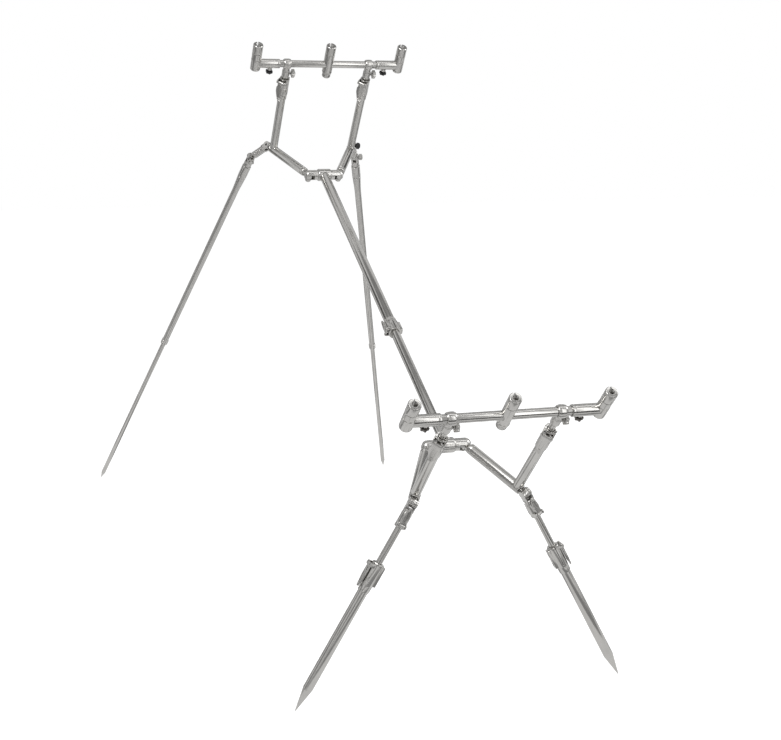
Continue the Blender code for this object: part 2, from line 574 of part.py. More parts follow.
for end, facing in ENDS.items():
    yoke_at = back_yoke_at if end == "back" else front_yoke_at
    carrier = "main_outer_tube" if end == "back" else "main_inner_tube"
    lean = UPRIGHT_LEAN[end]
    up = Vector((0, -sin(BAR_SLOPE + lean), cos(BAR_SLOPE + lean)))
    yoke_place = frame(yoke_at, up, X)
    held_r = OUTER_TUBE_R if end == "back" else INNER_TUBE_R
    node(end + "_yoke", yoke(lean, held_r, -facing), yoke_place, carrier, roughness=0.26)
    post_mesh = post(end)
    for side, sign in SIDES.items():
        name = end + "_" + side
        hinge_at = yoke_at + X * sign * ARM_HALF_GAP
        hinge = frame(hinge_at, up, X)

        # arm, upright and what they carry
        arm_dir = (bar_dir * facing * cos(ARM_SPLAY) + X * sign * sin(ARM_SPLAY)).normalized()
        foot = hinge_at + arm_dir * ARM_LENGTH
        knuckle_at = foot + arm_dir * KNUCKLE_REACH
        point = Vector((*LEG_POINT[end, side], 0))
        if end == "back":
            turn = LINK_TURN[side]
            level = cos(LINK_DROP)
            next_dir = Vector((sign * level * sin(turn), level * cos(turn), -sin(LINK_DROP)))
        else:
            next_dir = (point - knuckle_at).normalized()
        pivot = pivot_axis(arm_dir, next_dir)
        knuckle_place = frame(knuckle_at, next_dir, pivot)
        local = hinge.inverted()
        frame_mesh, clamp_local = side_frame(end, local.to_3x3() @ arm_dir, local @ knuckle_place)
        node(name + "_side_frame", frame_mesh, hinge, end + "_yoke")
        clamp = hinge @ clamp_local
        node(name + "_upright_lever", upright_lever, lever_place(clamp, CLAMP_R), name + "_side_frame",
             roughness=0.28)
        cradle_place = frame(foot + up * UPRIGHT_REACH, up, X)
        node(name + "_post", post_mesh, cradle_place, name + "_side_frame")
        node(name + "_cradle", cradle_mesh, cradle_place, name + "_post")
        knob_place = cradle_place @ shift(NECK_R, 0, -POST_KNOB_DROP) @ ALONG_X
        node(name + "_cradle_knob", cradle_knob_mesh, knob_place, name + "_cradle", roughness=0.3)

        # leg
        if end == "back":
            leg_at = knuckle_at + next_dir * LINK_LENGTH
            leg_dir = (point - leg_at).normalized()
            leg_pivot = pivot_axis(next_dir, leg_dir)
            aligned = knuckle_place.to_3x3().inverted() @ leg_pivot
            turn_to_leg = atan2(aligned.y, aligned.x)
            node(name + "_knuckle", knuckle(turn_to_leg), knuckle_place, name + "_side_frame", roughness=0.3)
            outside = shift(CHEEK_HALF) @ ALONG_X
            node(name + "_knuckle_knob", pivot_knob_mesh, knuckle_place @ outside, name + "_knuckle",
                 (0.03, 0.03, 0.03), 0.45, 0.0)
            leg_place = frame(leg_at, leg_dir, leg_pivot)
            node(name + "_leg_tube", back_leg_mesh, leg_place, name + "_knuckle")
            node(name + "_leg_knob", pivot_knob_mesh, leg_place @ outside, name + "_leg_tube", roughness=0.3)
            spike_top = point - leg_dir * BACK_SPIKE_LENGTH
            spike_place = frame(spike_top, -leg_dir, leg_pivot)
            node(name + "_leg_spike", back_spike_mesh, spike_place, name + "_leg_tube")
        else:
            outward = X * sign
            clamp_mouth = knuckle_place @ leg_clamp_mouth
            node(name + "_leg_clamp", leg_clamp_mesh, knuckle_place, name + "_side_frame", roughness=0.28)
            node(name + "_leg_clamp_lever", short_lever, lever_place(clamp_mouth, LEG_CLAMP_R),
                 name + "_leg_clamp", roughness=0.28)
            spike_mouth_at = point - next_dir * FRONT_SPIKE_LENGTH
            low_end = (spike_mouth_at - knuckle_at).length + FRONT_ROD_INSIDE
            rod_end = low_end - ROD_FOOT
            rod_bore = FRONT_ROD_R - TUBE_WALL
            rod_mesh = turned([(0, 0), (FRONT_ROD_R, 0), (FRONT_ROD_R, rod_end), (rod_bore, rod_end),
                               (rod_bore, 0.010), (0, 0.010)])
            node(name + "_leg_rod", rod_mesh, knuckle_place @ shift(z=ROD_FOOT), name + "_leg_clamp")
            spike_place = frame(spike_mouth_at, -next_dir, next_dir.cross(outward))
            node(name + "_leg_spike", front_spike_mesh, spike_place, name + "_leg_rod")
            node(name + "_leg_spike_lever", leg_lever, lever_place(spike_place, CLAMP_R),
                 name + "_leg_spike", roughness=0.28)

    # rod bar and its three rests
    bar_at = yoke_at + bar_dir * facing * cos(ARM_SPLAY) * ARM_LENGTH + up * UPRIGHT_REACH
    bar_place = frame(bar_at, up, X)
    node(end + "_rod_bar", rod_bar_mesh, bar_place, end + "_left_cradle")
    node(end + "_middle_rest", middle_rest_mesh, bar_place, end + "_rod_bar")
    node(end + "_middle_nut", middle_nut_mesh, bar_place, end + "_middle_rest", roughness=0.3)
    for side, sign in SIDES.items():
        sleeve_place = bar_place @ shift(sign * ROD_SPACING)
        name = end + "_" + side
        node(name + "_bar_sleeve", sleeve_meshes[side], sleeve_place, end + "_rod_bar")
        boss_end = bar_place @ shift(sign * SLEEVE_KNOB_X, 0, -SLEEVE_BOSS_DROP)
        screw_place = boss_end @ Matrix.Rotation(pi, 4, "X")
        dark = (0.02, 0.02, 0.02) if end == "back" else (0.30, 0.29, 0.28)
        node(name + "_sleeve_knob", sleeve_knob_mesh, screw_place, name + "_bar_sleeve", dark, 0.4,
             0.0 if end == "back" else 1.0)

# ---------------------------------------------------------------- centre the pod over the origin
bpy.context.view_layer.update()
corners = [o.matrix_world @ v.co for o in bpy.data.objects for v in o.data.vertices]
low = Vector((min(c[i] for c in corners) for i in range(3)))
high = Vector((max(c[i] for c in corners) for i in range(3)))
middle = Vector(((low.x + high.x) / 2, (low.y + high.y) / 2, low.z))
bpy.data.objects["main_outer_tube"].location -= middle
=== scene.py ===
"""Looks of the three-rod carp rod pod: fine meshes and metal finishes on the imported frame."""
import json
from math import atan2, cos, pi, radians, sin, sqrt

import bmesh
import bpy
from mathutils import Matrix, Vector

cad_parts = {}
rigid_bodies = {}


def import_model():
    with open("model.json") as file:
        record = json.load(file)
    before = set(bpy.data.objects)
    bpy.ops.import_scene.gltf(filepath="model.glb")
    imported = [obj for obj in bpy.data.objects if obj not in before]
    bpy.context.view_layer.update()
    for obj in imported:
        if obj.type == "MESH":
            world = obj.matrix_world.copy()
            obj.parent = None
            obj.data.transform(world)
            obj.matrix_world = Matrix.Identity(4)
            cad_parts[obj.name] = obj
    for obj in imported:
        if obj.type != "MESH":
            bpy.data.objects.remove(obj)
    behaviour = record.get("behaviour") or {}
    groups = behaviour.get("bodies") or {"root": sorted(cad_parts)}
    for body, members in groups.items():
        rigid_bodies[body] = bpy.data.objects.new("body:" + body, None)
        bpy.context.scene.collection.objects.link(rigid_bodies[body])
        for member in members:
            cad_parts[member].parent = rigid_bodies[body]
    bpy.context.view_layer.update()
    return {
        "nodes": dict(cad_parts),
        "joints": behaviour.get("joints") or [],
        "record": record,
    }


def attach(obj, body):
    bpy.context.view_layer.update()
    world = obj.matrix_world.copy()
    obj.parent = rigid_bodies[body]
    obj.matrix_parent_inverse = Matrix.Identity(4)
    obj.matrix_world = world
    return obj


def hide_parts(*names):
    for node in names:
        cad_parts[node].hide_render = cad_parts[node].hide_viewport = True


for leftover in list(bpy.data.objects):
    bpy.data.objects.remove(leftover, do_unlink=True)

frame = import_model()
RECORD = frame["record"]
JOINTS = {joint["name"]: joint for joint in frame["joints"]}
BODY_OF = {n: body for body, members in RECORD["behaviour"]["bodies"].items() for n in members}

# ---------------------------------------------------------------- sizes of the fine features, metres
SMOOTH = 48                     # sides of a large round piece
NEAT = 32                       # sides of a small round piece
SLIM = 24                       # sides of a pin or a screw
RIM = 0.0004                    # rounding of a turned rim
EDGE = 0.0003                   # rounding of a milled edge
TUBE_WALL = 0.0012
THREAD_PITCH = 0.00127          # 20 threads to the inch
THREAD_DEPTH = 0.00045
SCREW_PITCH = 0.0008
SCREW_DEPTH = 0.00025
FIT = 0.0003                    # clearance round a rod, pin or screw
PAST = 0.02                     # how far a small cutter runs past what it cuts
FAR_PAST = 0.05                 # the same for a cutter along a bar or a tube

X = Vector((1, 0, 0))
Z = Vector((0, 0, 1))
SIDES = {"left": -1, "right": 1}
ENDS = {"back": 1, "front": -1}
ALONG_X = Matrix.Rotation(pi / 2, 4, "Y")
STANDING = Matrix.Rotation(pi / 2, 4, "X")


# ---------------------------------------------------------------- placing
def axis_of(joint):
    return Vector(JOINTS[joint]["axis"]).normalized()


def pivot_of(joint):
    return Vector(JOINTS[joint]["pos_m"])


def placing(origin, z_axis, x_hint):
    """Placement whose Z runs along z_axis and whose X is as near as can be to x_hint."""
    z = Vector(z_axis).normalized()
    x = Vector(x_hint)
    x = (x - z * x.dot(z)).normalized()
    placed = Matrix((x, z.cross(x), z)).transposed().to_4x4()
    placed.translation = Vector(origin)
    return placed


def shift(x=0.0, y=0.0, z=0.0):
    return Matrix.Translation((x, y, z))


def extent(node, place):
    """Lowest and highest corner of a frame node in the axes of a placement."""
    back = place.inverted()
    points = [back @ v.co for v in frame["nodes"][node].data.vertices]
    low = Vector([min(p[i] for p in points) for i in range(3)])
    high = Vector([max(p[i] for p in points) for i in range(3)])
    return low, high


def centred(node, z_axis, x_hint):
    """Placement on the middle line of a node that runs along z_axis, its origin at the node's low end."""
    turned_only = placing((0, 0, 0), z_axis, x_hint)
    low, high = extent(node, turned_only)
    return turned_only @ shift((low.x + high.x) / 2, (low.y + high.y) / 2, low.z), high - low


# ---------------------------------------------------------------- outlines
def eased(points, radius=RIM, steps=3, closed=False):
    """Outline with its corners rounded; a point may give its own radius as a third number."""
    count = len(points)
    result = []
    for i, point in enumerate(points):
        here = Vector(point[:2])
        size = point[2] if len(point) > 2 else radius
        if size == 0 or (not closed and i in (0, count - 1)):
            result.append(here)
            continue
        before = Vector(points[i - 1][:2]) - here
        after = Vector(points[(i + 1) % count][:2]) - here
        start = here + before.normalized() * min(size, 0.45 * before.length)
        end = here + after.normalized() * min(size, 0.45 * after.length)
        for step in range(steps + 1):
            t = step / steps
            result.append(start * (1 - t) ** 2 + here * (2 * t * (1 - t)) + end * t ** 2)
    return [tuple(p) for p in result]


# ---------------------------------------------------------------- solids
def to_mesh(bm, at):
    bmesh.ops.remove_doubles(bm, verts=bm.verts, dist=1e-7)
    bmesh.ops.recalc_face_normals(bm, faces=bm.faces)
    bmesh.ops.transform(bm, matrix=at, verts=bm.verts)
    mesh = bpy.data.meshes.new("solid")
    bm.to_mesh(mesh)
    bm.free()
    return mesh


def turned(profile, sides=SMOOTH, at=Matrix(), rim=RIM):
    """Solid turned about Z from an outline of (radius, height) points, its corners rounded."""
    loop = profile[0][0] > 0
    outline = eased(profile, rim, closed=loop)
    bm = bmesh.new()
    points = [bm.verts.new((r, 0, z)) for r, z in outline]
    edges = [bm.edges.new(pair) for pair in zip(points, points[1:])]
    if loop:
        edges.append(bm.edges.new((points[-1], points[0])))
    bmesh.ops.spin(bm, geom=points + edges, cent=(0, 0, 0), axis=(0, 0, 1), angle=2 * pi, steps=sides)
    return to_mesh(bm, at)


def rod(radius, low, high, sides=SMOOTH, at=Matrix(), rim=RIM):
    """Solid cylinder on Z."""
    return turned([(0, low), (radius, low), (radius, high), (0, high)], sides, at, rim)


def tube(radius, bore, low, high, sides=SMOOTH, at=Matrix()):
    """Open tube on Z."""
    return turned([(radius, low), (radius, high), (bore, high), (bore, low)], sides, at)


def softened(bm, edges, width):
    """Round some edges over by a width."""
    if width:
        bmesh.ops.bevel(bm, geom=edges, offset=width, segments=2, profile=0.5, affect="EDGES",
                        clamp_overlap=True)


def block(low, high, at=Matrix(), edge=EDGE):
    """Box between two corners with rounded edges."""
    bm = bmesh.new()
    size = Vector(high) - Vector(low)
    centre = (Vector(high) + Vector(low)) / 2
    bmesh.ops.create_cube(bm, size=1.0, matrix=Matrix.Translation(centre) @ Matrix.Diagonal((*size, 1)))
    softened(bm, bm.edges[:], edge)
    return to_mesh(bm, at)


def plate(outline, low, high, at=Matrix(), edge=EDGE):
    """Flat outline in XY given a thickness from low to high, with rounded rims."""
    bm = bmesh.new()
    face = bm.faces.new([bm.verts.new((x, y, low)) for x, y in outline])
    grown = bmesh.ops.extrude_face_region(bm, geom=[face])["geom"]
    lifted = [v for v in grown if isinstance(v, bmesh.types.BMVert)]
    bmesh.ops.translate(bm, vec=(0, 0, high - low), verts=lifted)
    rims = [e for e in bm.edges if abs(e.verts[0].co.z - e.verts[1].co.z) < 1e-7]
    softened(bm, rims, edge)
    return to_mesh(bm, at)


def prism(sides, radius, low, high, at=Matrix(), edge=EDGE):
    """Regular prism on Z with a flat facing +Y."""
    turn = pi / 2 + pi / sides
    corners = [(radius * cos(turn + 2 * pi * i / sides), radius * sin(turn + 2 * pi * i / sides))
               for i in range(sides)]
    return plate(eased(corners, 3 * edge, 2, closed=True), low, high, at, edge)


def bead(path, radius, sides=8):
    """Closed ring of weld metal along a path of points."""
    bm = bmesh.new()
    count = len(path)
    rings = []
    for i, here in enumerate(path):
        forward = (path[(i + 1) % count] - path[i - 1]).normalized()
        place = placing(here, forward, here if forward.cross(here).length > 1e-6 else X)
        swell = radius * (1 + 0.10 * cos(pi * i))
        turns = [2 * pi * s / sides for s in range(sides)]
        points = [Vector((swell * cos(turn), swell * sin(turn), 0)) for turn in turns]
        rings.append([bm.verts.new(place @ point) for point in points])
    for ring, following in zip(rings, rings[1:] + rings[:1]):
        for s in range(sides):
            bm.faces.new((ring[s], ring[(s + 1) % sides], following[(s + 1) % sides], following[s]))
    return to_mesh(bm, Matrix())


def join(base, add=(), cut=(), pins=()):
    """Unite add with base, take cut away, then unite the pins."""
    body = bpy.data.objects.new("body", base)
    bpy.context.scene.collection.objects.link(body)
    helpers = []
    steps = [("UNION", m) for m in add] + [("DIFFERENCE", m) for m in cut] + [("UNION", m) for m in pins]
    for operation, mesh in steps:
        helper = bpy.data.objects.new("helper", mesh)
        bpy.context.scene.collection.objects.link(helper)
        helpers.append(helper)
        modifier = body.modifiers.new(operation, "BOOLEAN")
        modifier.operation = operation
        modifier.solver = "EXACT"
        modifier.object = helper
    bpy.context.view_layer.update()
    result = bpy.data.meshes.new_from_object(body.evaluated_get(bpy.context.evaluated_depsgraph_get()))
    for used in [body] + helpers:
        bpy.data.objects.remove(used, do_unlink=True)
    bm = bmesh.new()
    bm.from_mesh(result)
    bmesh.ops.remove_doubles(bm, verts=bm.verts, dist=1e-6)
    bm.to_mesh(result)
    bm.free()
    return result


# ---------------------------------------------------------------- finishes
SMUDGE = (38.0, 38.0, 26.0)     # scale of the handled patches
SHADE_REACH = 0.003             # how far from a corner the painted shade reaches
LINE_DEPTH = 0.00004            # depth of the fine lines
DULL = 0.90                     # colour of the dull patches, the bright patches and the painted shade in corners
BRIGHT = 1.06
PAINTED_SHADE = 0.30


def metal(name, colour, roughness, grain):
    """Polished metal; grain gives the scale of its fine lines along each of the piece's own axes."""
    material = bpy.data.materials.new(name)
    material.use_nodes = True
    tree = material.node_tree
    shader = tree.nodes["Principled BSDF"]
    shader.inputs["Metallic"].default_value = 1.0
    link = tree.links.new
    place = tree.nodes.new("ShaderNodeTexCoord")

    def noise(scale, detail):
        mapping = tree.nodes.new("ShaderNodeMapping")
        mapping.inputs["Scale"].default_value = scale
        link(place.outputs["Object"], mapping.inputs["Vector"])
        texture = tree.nodes.new("ShaderNodeTexNoise")
        texture.inputs["Scale"].default_value = 1.0
        texture.inputs["Detail"].default_value = detail
        link(mapping.outputs["Vector"], texture.inputs["Vector"])
        return texture.outputs["Fac"]

    def ranged(value, low, high, start=0.3, stop=0.7):
        node = tree.nodes.new("ShaderNodeMapRange")
        node.inputs["From Min"].default_value = start
        node.inputs["From Max"].default_value = stop
        node.inputs["To Min"].default_value = low
        node.inputs["To Max"].default_value = high
        link(value, node.inputs["Value"])
        return node.outputs["Result"]

    def summed(first, second):
        node = tree.nodes.new("ShaderNodeMath")
        node.operation = "ADD"
        link(first, node.inputs[0])
        link(second, node.inputs[1])
        return node.outputs["Value"]

    lines = noise(grain, 3.0)
    smudge = noise(SMUDGE, 5.0)
    wear = summed(ranged(lines, -0.04, 0.06), ranged(smudge, 0.0, 0.05, 0.45, 0.75))
    base = tree.nodes.new("ShaderNodeMath")
    base.operation = "ADD"
    base.use_clamp = True
    base.inputs[1].default_value = roughness
    link(wear, base.inputs[0])
    link(base.outputs["Value"], shader.inputs["Roughness"])

    tint = tree.nodes.new("ShaderNodeMix")
    tint.data_type = "RGBA"
    tint.inputs["A"].default_value = (*[c * DULL for c in colour], 1)
    tint.inputs["B"].default_value = (*[min(1.0, c * BRIGHT) for c in colour], 1)
    patches = summed(ranged(smudge, 0.0, 0.6), ranged(lines, 0.0, 0.4))
    link(ranged(patches, 0.0, 1.0, 0.1, 0.9), tint.inputs["Factor"])
    # painted shade: ambient occlusion darkens the base colour in corners and recesses
    corners = tree.nodes.new("ShaderNodeAmbientOcclusion")
    corners.inputs["Distance"].default_value = SHADE_REACH
    corners.samples = 6
    painted_corner_shade = tree.nodes.new("ShaderNodeMix")
    painted_corner_shade.data_type = "RGBA"
    painted_corner_shade.inputs["A"].default_value = (*[c * PAINTED_SHADE for c in colour], 1)
    link(ranged(corners.outputs["AO"], 0.0, 1.0, 0.15, 0.75), painted_corner_shade.inputs["Factor"])
    link(tint.outputs["Result"], painted_corner_shade.inputs["B"])
    link(painted_corner_shade.outputs["Result"], shader.inputs["Base Color"])

    bump = tree.nodes.new("ShaderNodeBump")
    bump.inputs["Strength"].default_value = 0.12
    bump.inputs["Distance"].default_value = LINE_DEPTH
    link(lines, bump.inputs["Height"])
    link(bump.outputs["Normal"], shader.inputs["Normal"])
    return material


def plastic(name, colour, roughness):
    """Moulded plastic with a fine texture and rubbed patches."""
    material = metal(name, colour, roughness, CLOUDY)
    shader = material.node_tree.nodes["Principled BSDF"]
    shader.inputs["Metallic"].default_value = 0.0
    return material


STEEL = (0.60, 0.59, 0.57)
PRESSED_STEEL = (0.58, 0.57, 0.55)
DARK_PLATING = (0.17, 0.16, 0.15)
BLACK = (0.022, 0.022, 0.023)
DRAWN = (900.0, 900.0, 7.0)     # lines along the piece's own Z
ROUND_LINES = (30.0, 30.0, 2600.0)  # lines round the piece's own Z
ACROSS_X = (7.0, 900.0, 900.0)  # lines along the piece's own X
CLOUDY = (260.0, 260.0, 260.0)  # no lines
LOOKS = {
    "drawn": metal("drawn_steel", STEEL, 0.13, DRAWN),
    "drawn_x": metal("drawn_steel_along_x", STEEL, 0.13, ACROSS_X),
    "turned": metal("turned_steel", STEEL, 0.19, ROUND_LINES),
    "cast": metal("polished_steel", STEEL, 0.17, CLOUDY),
    "pressed": metal("pressed_steel", PRESSED_STEEL, 0.22, DRAWN),
    "dark": metal("dark_plated_steel", DARK_PLATING, 0.24, CLOUDY),
    "black": plastic("black_plastic", BLACK, 0.38),
}


def piece(node, mesh, place, look):
    """The fine form of one frame node, on the node's body and in its material slot."""
    if not mesh.materials:
        mesh.materials.append(LOOKS[look])
        mesh.shade_smooth()
        mesh.set_sharp_from_angle(angle=radians(32))
    fine = bpy.data.objects.new(node + "_fine", mesh)
    fine.matrix_world = place
    bpy.context.scene.collection.objects.link(fine)
    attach(fine, BODY_OF[node])
    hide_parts(node)
    return fine


# ---------------------------------------------------------------- flip-lever clamps
PIN_LIFT = 0.0035               # lever pin above the collar's surface
PIN_BACK = 0.0065               # lever pin behind the collar's mouth
PIN_R = 0.0016
BARREL_R = 0.0029
EAR = 0.0026
EAR_HALF = 0.0040
COLLAR_SIDES = 8
PAD_RISE = 0.0025               # screw pad above the collar's surface
PAD_HALF = 0.0060
PAD_SCREWS = (0.22, 0.58)       # the pad's screws, as shares of the collar's length
WIDE = 0.0080                   # half widths of the levers
NARROW = 0.0055


def clamp_place(lever_node, axis_point, mouth_dir):
    """Placement at a clamp's mouth on its tube's axis: Z out of the mouth, Y towards the lever."""
    flip = lever_node + "_flip"
    pin = pivot_of(flip)
    z = Vector(mouth_dir).normalized()
    on_axis = Vector(axis_point) + z * ((pin - Vector(axis_point)).dot(z) + PIN_BACK)
    return placing(on_axis, z, axis_of(flip))


def lever_place(lever_node, z_axis):
    return placing(pivot_of(lever_node + "_flip"), z_axis, axis_of(lever_node + "_flip"))


def clamp_parts(radius, length, half, at=Matrix()):
    """Eight-sided collar ending at Z=0, ears for a lever on +Y and a raised pad with two screws on -Y."""
    ear_top = radius + PIN_LIFT + 0.0024
    inner = half + 0.0004
    waist = 0.78 * length
    collar = prism(COLLAR_SIDES, radius, -waist, 0, at, 0.0007)
    shoulder = turned([(0, -length), (0.90 * radius, -length, 0.001), (0.93 * radius, -waist + 0.0008),
                       (0, -waist + 0.0008)], SMOOTH, at)
    band = rod(0.965 * radius, -0.0042, -0.0006, SMOOTH, at)
    parts = [collar, shoulder, band]
    ear = eased([(-EAR_HALF, 0.3 * radius), (-EAR_HALF, ear_top, 0.0024), (EAR_HALF, ear_top, 0.0024),
                 (EAR_HALF, 0.3 * radius)], 0, 4)
    for side in (-1, 1):
        low, high = sorted((side * inner, side * (inner + EAR)))
        parts.append(plate(ear, low, high, at @ shift(z=-PIN_BACK) @ ALONG_X, 0.0003))
    pad = eased([(-PAD_HALF, -0.74 * length), (PAD_HALF, -0.74 * length), (PAD_HALF, -0.0030),
                 (-PAD_HALF, -0.0030)], 0.0012, 3, closed=True)
    parts.append(plate(pad, 0.5 * radius, radius + PAD_RISE, at @ STANDING, 0.0005))
    return parts


def pad_screw_places(radius, length, at):
    """Placements on the pad's face at its screws."""
    return [at @ shift(y=-radius - PAD_RISE, z=-share * length) @ STANDING for share in PAD_SCREWS]


def clamp_cuts(radius, length, at=Matrix()):
    """Slot that lets the collar close, and the sockets of the pad's two screws."""
    slot = block((radius * 0.6, -0.0006, -0.70 * length), (radius * 1.3, 0.0006, 0.01), at, 0)
    sockets = [rod(0.0031, -0.0012, 0.01, NEAT, screw, 0) for screw in pad_screw_places(radius, length, at)]
    return [slot] + sockets


def pad_screws(radius, length, at=Matrix()):
    """Domed socket heads sunk in the pad."""
    head = [(0, -0.0022), (0.0027, -0.0022), (0.0027, -0.0005, 0.0006), (0.0014, -0.0002), (0.0012, -0.0011),
            (0, -0.0011)]
    return [turned(head, SLIM, screw, 0.0001) for screw in pad_screw_places(radius, length, at)]


def clamp_pin(radius, half, at=Matrix()):
    """Lever pin with a domed head outside each ear."""
    reach = half + EAR + 0.0003
    profile = [(0, -reach - 0.0006), (0.0017, -reach - 0.0005, 0.0006), (0.0022, -reach + 0.0004),
               (PIN_R, -reach + 0.0004), (PIN_R, reach - 0.0004), (0.0022, reach - 0.0004),
               (0.0017, reach + 0.0005, 0.0006), (0, reach + 0.0006)]
    return turned(profile, SLIM, at @ shift(0, radius + PIN_LIFT, -PIN_BACK) @ ALONG_X, 0.0001)


def lever(length, half, flare):
    """Tapering flip lever with a pressed channel, hanging from its pin barrel; X is the pin's axis."""
    wide = half + flare
    outline = [(-half, -0.0004), (-half, -0.0110), (-wide, -0.0135), (-wide, -0.50 * length),
               (-0.60 * half, -0.92 * length), (-0.40 * half, -length), (0.40 * half, -length),
               (0.60 * half, -0.92 * length), (wide, -0.50 * length), (wide, -0.0135), (half, -0.0110),
               (half, -0.0004)]
    arm = plate(eased(outline, 0.0008, 2, closed=True), -0.0011, BARREL_R - 0.0003, STANDING, 0.0005)
    barrel = rod(BARREL_R, -half + 0.0002, half - 0.0002, SMOOTH, ALONG_X)
    hole = rod(PIN_R + FIT, -PAST, PAST, SLIM, ALONG_X, 0)
    tip = block((-PAST, -PAST, -2 * length), (PAST, -0.0013, -0.80 * length), edge=0)
    channel_half = 0.42 * half
    channel = plate(eased([(-channel_half, -0.50 * length), (-0.6 * channel_half, -0.78 * length),
                           (0.6 * channel_half, -0.78 * length), (channel_half, -0.50 * length),
                           (channel_half, -0.0150), (-channel_half, -0.0150)], 0.0008, 3, closed=True),
                    -0.01, -0.0005, STANDING, 0)
    grips = []
    for i in range(4):
        height = -(0.84 + 0.035 * i) * length
        grips.append(rod(0.0003, -0.01, 0.01, 12, shift(0, 0.0012, height) @ ALONG_X, 0))
    return join(arm, [barrel], [hole, tip, channel] + grips)


# ---------------------------------------------------------------- knobs and screws
KNURLS = 24
NUT_SCREW_R = 0.0030
NUT_SCREW_TOP = -0.0083
SCREW_HOLE_R = 0.0033           # hole for a hinge bolt or the nut's screw


def screw_profile(radius, low, high):
    """Outline of a threaded stem from low to high, without its ends."""
    count = max(1, int((high - low) / SCREW_PITCH))
    points = []
    for i in range(count):
        points.append((radius - SCREW_DEPTH, low + (i + 0.05) * SCREW_PITCH, 0))
        points.append((radius, low + (i + 0.5) * SCREW_PITCH, 0))
    points.append((radius - SCREW_DEPTH, high, 0))
    return points


def knob(screw, radius, height=0.009, gap=0.0010, screw_radius=0.0020, lobes=6):
    """Lobed thumb knob above Z=gap with its threaded screw going down to Z=-screw."""
    outline = []
    count = 16 * lobes
    for step in range(count):
        turn = 2 * pi * step / count
        r = radius * (1 - 0.11 * (1 + cos(lobes * turn)))
        outline.append((r * cos(turn), r * sin(turn)))
    grip = plate(outline, gap + 0.0020, gap + height, edge=0.0008)
    top = gap + height + 0.0016
    thread = screw_profile(screw_radius, -screw + 0.0004, gap - 0.0001)
    hub = [(0.0046, gap, 0.0003), (0.0046, top, 0.0008), (0.0026, top, 0.0002),
           (0.0022, top - 0.0007, 0.0002), (0, top - 0.0007)]
    stem = turned([(0, -screw), (0.7 * screw_radius, -screw, 0)] + thread + hub, SMOOTH)
    dish = turned([(0, gap + height - 0.0007), (0.0055, gap + height - 0.0007, 0.0002),
                   (0.0066, gap + height + 0.001), (0, gap + height + 0.001)], SMOOTH)
    return join(grip, (), [dish], [stem])


def nut():
    """Clamping cap below the middle rest with a knurled rim, its screw reaching up to the bar."""
    high = -MIDDLE_REST_BOTTOM - FIT
    low = high - MIDDLE_NUT_HEIGHT
    cap = turned([(0, low + 0.0006), (0.0036, low + 0.0006, 0.0003), (0.0040, low, 0.0003),
                  (0.0078, low, 0.0012), (0.0095, low + 0.0020, 0.0012), (0.0095, high - 0.0006),
                  (0.0089, high), (0, high)], SMOOTH)
    cuts = []
    for i in range(KNURLS):
        turn = Matrix.Rotation(2 * pi * i / KNURLS, 4, "Z")
        cuts.append(block((0.0091, -0.00030, low + 0.0036), (0.0110, 0.00030, high - 0.0024), turn, 0))
    thread = screw_profile(NUT_SCREW_R, high - 0.001, NUT_SCREW_TOP)
    stem = turned([(0, high - 0.001)] + thread + [(0, NUT_SCREW_TOP)], NEAT)
    return join(cap, (), cuts, [stem])


# ---------------------------------------------------------------- yokes
HALF_GAP = 0.036                # hinge bolt from the middle of a yoke
JAW_R = 0.0115
YOKE_R = 0.0140
YOKE_HALF = 0.0160
YOKE_STEP_R = 0.0118
EYE_HALF = 0.0050
EYE_SLOT_R = 0.0165
SEAT_IN_YOKE = 0.0060


def yoke(bar_local, tube_r):
    """Cross head along X: slotted domed ends, hinge bolts and a collared seat for the centre bar."""
    steps = 10
    dome = [(JAW_R * sin(pi / 2 * i / steps), JAW_R * cos(pi / 2 * i / steps)) for i in range(steps + 1)]
    profile = [(r, -HALF_GAP - h, 0) for r, h in dome] + [(r, HALF_GAP + h, 0) for r, h in reversed(dome)]
    body = turned(profile, SMOOTH, ALONG_X)
    crown = YOKE_HALF - 0.0026
    middle = turned([(0, -YOKE_HALF), (YOKE_STEP_R, -YOKE_HALF, 0.0008), (YOKE_R, -crown, 0.0014),
                     (YOKE_R, crown, 0.0014), (YOKE_STEP_R, YOKE_HALF, 0.0008), (0, YOKE_HALF)],
                    SMOOTH, ALONG_X)
    add = [middle]
    cut = []
    pins = []
    for side in SIDES.values():
        hinge = shift(side * HALF_GAP)
        add.append(rod(0.0071, -JAW_R - 0.0010, -EYE_HALF - 0.0010, SMOOTH, hinge))
        cut.append(rod(EYE_SLOT_R, -EYE_HALF - FIT, EYE_HALF + FIT, SMOOTH, hinge, 0))
        under = -JAW_R - 0.0008
        bolt = turned([(0, under - 0.0030), (0.0030, under - 0.0030, 0), (0.0030, under - 0.0050, 0.0002),
                       (0.0046, under - 0.0050, 0.0006), (0.0065, under - 0.0030, 0.0010), (0.0065, under),
                       (0.0030, under), (0.0030, EYE_HALF + 0.0030), (0, EYE_HALF + 0.0030)],
                      NEAT, hinge, 0.0002)
        pins.append(bolt)
    bar = placing((0, 0, 0), bar_local, X)
    cut.append(rod(tube_r + FIT, -SEAT_IN_YOKE, FAR_PAST, SMOOTH, bar, 0))
    return join(body, add, cut, pins)


# ---------------------------------------------------------------- arms and uprights
ARM_R = 0.0100
UPRIGHT_R = 0.0090
POST_R = 0.0060
EYE_R = 0.0102
CLAMP_R = 0.0115
CLAMP_LENGTH = 0.056
KNUCKLE_R = 0.0085
KNUCKLE_HALF = 0.0040
KNUCKLE_REACH = 0.020
KNUCKLE_PIN_R = 0.0025
CHEEK_HALF = 0.0085
TONGUE_HALF = 0.0066            # half width of a hinge eye's tongue
WEB_HALF = 0.0068
FORK_LENGTH = 0.0150
FORK_SLOT = 0.0108              # depth of the slot behind a fork's pin


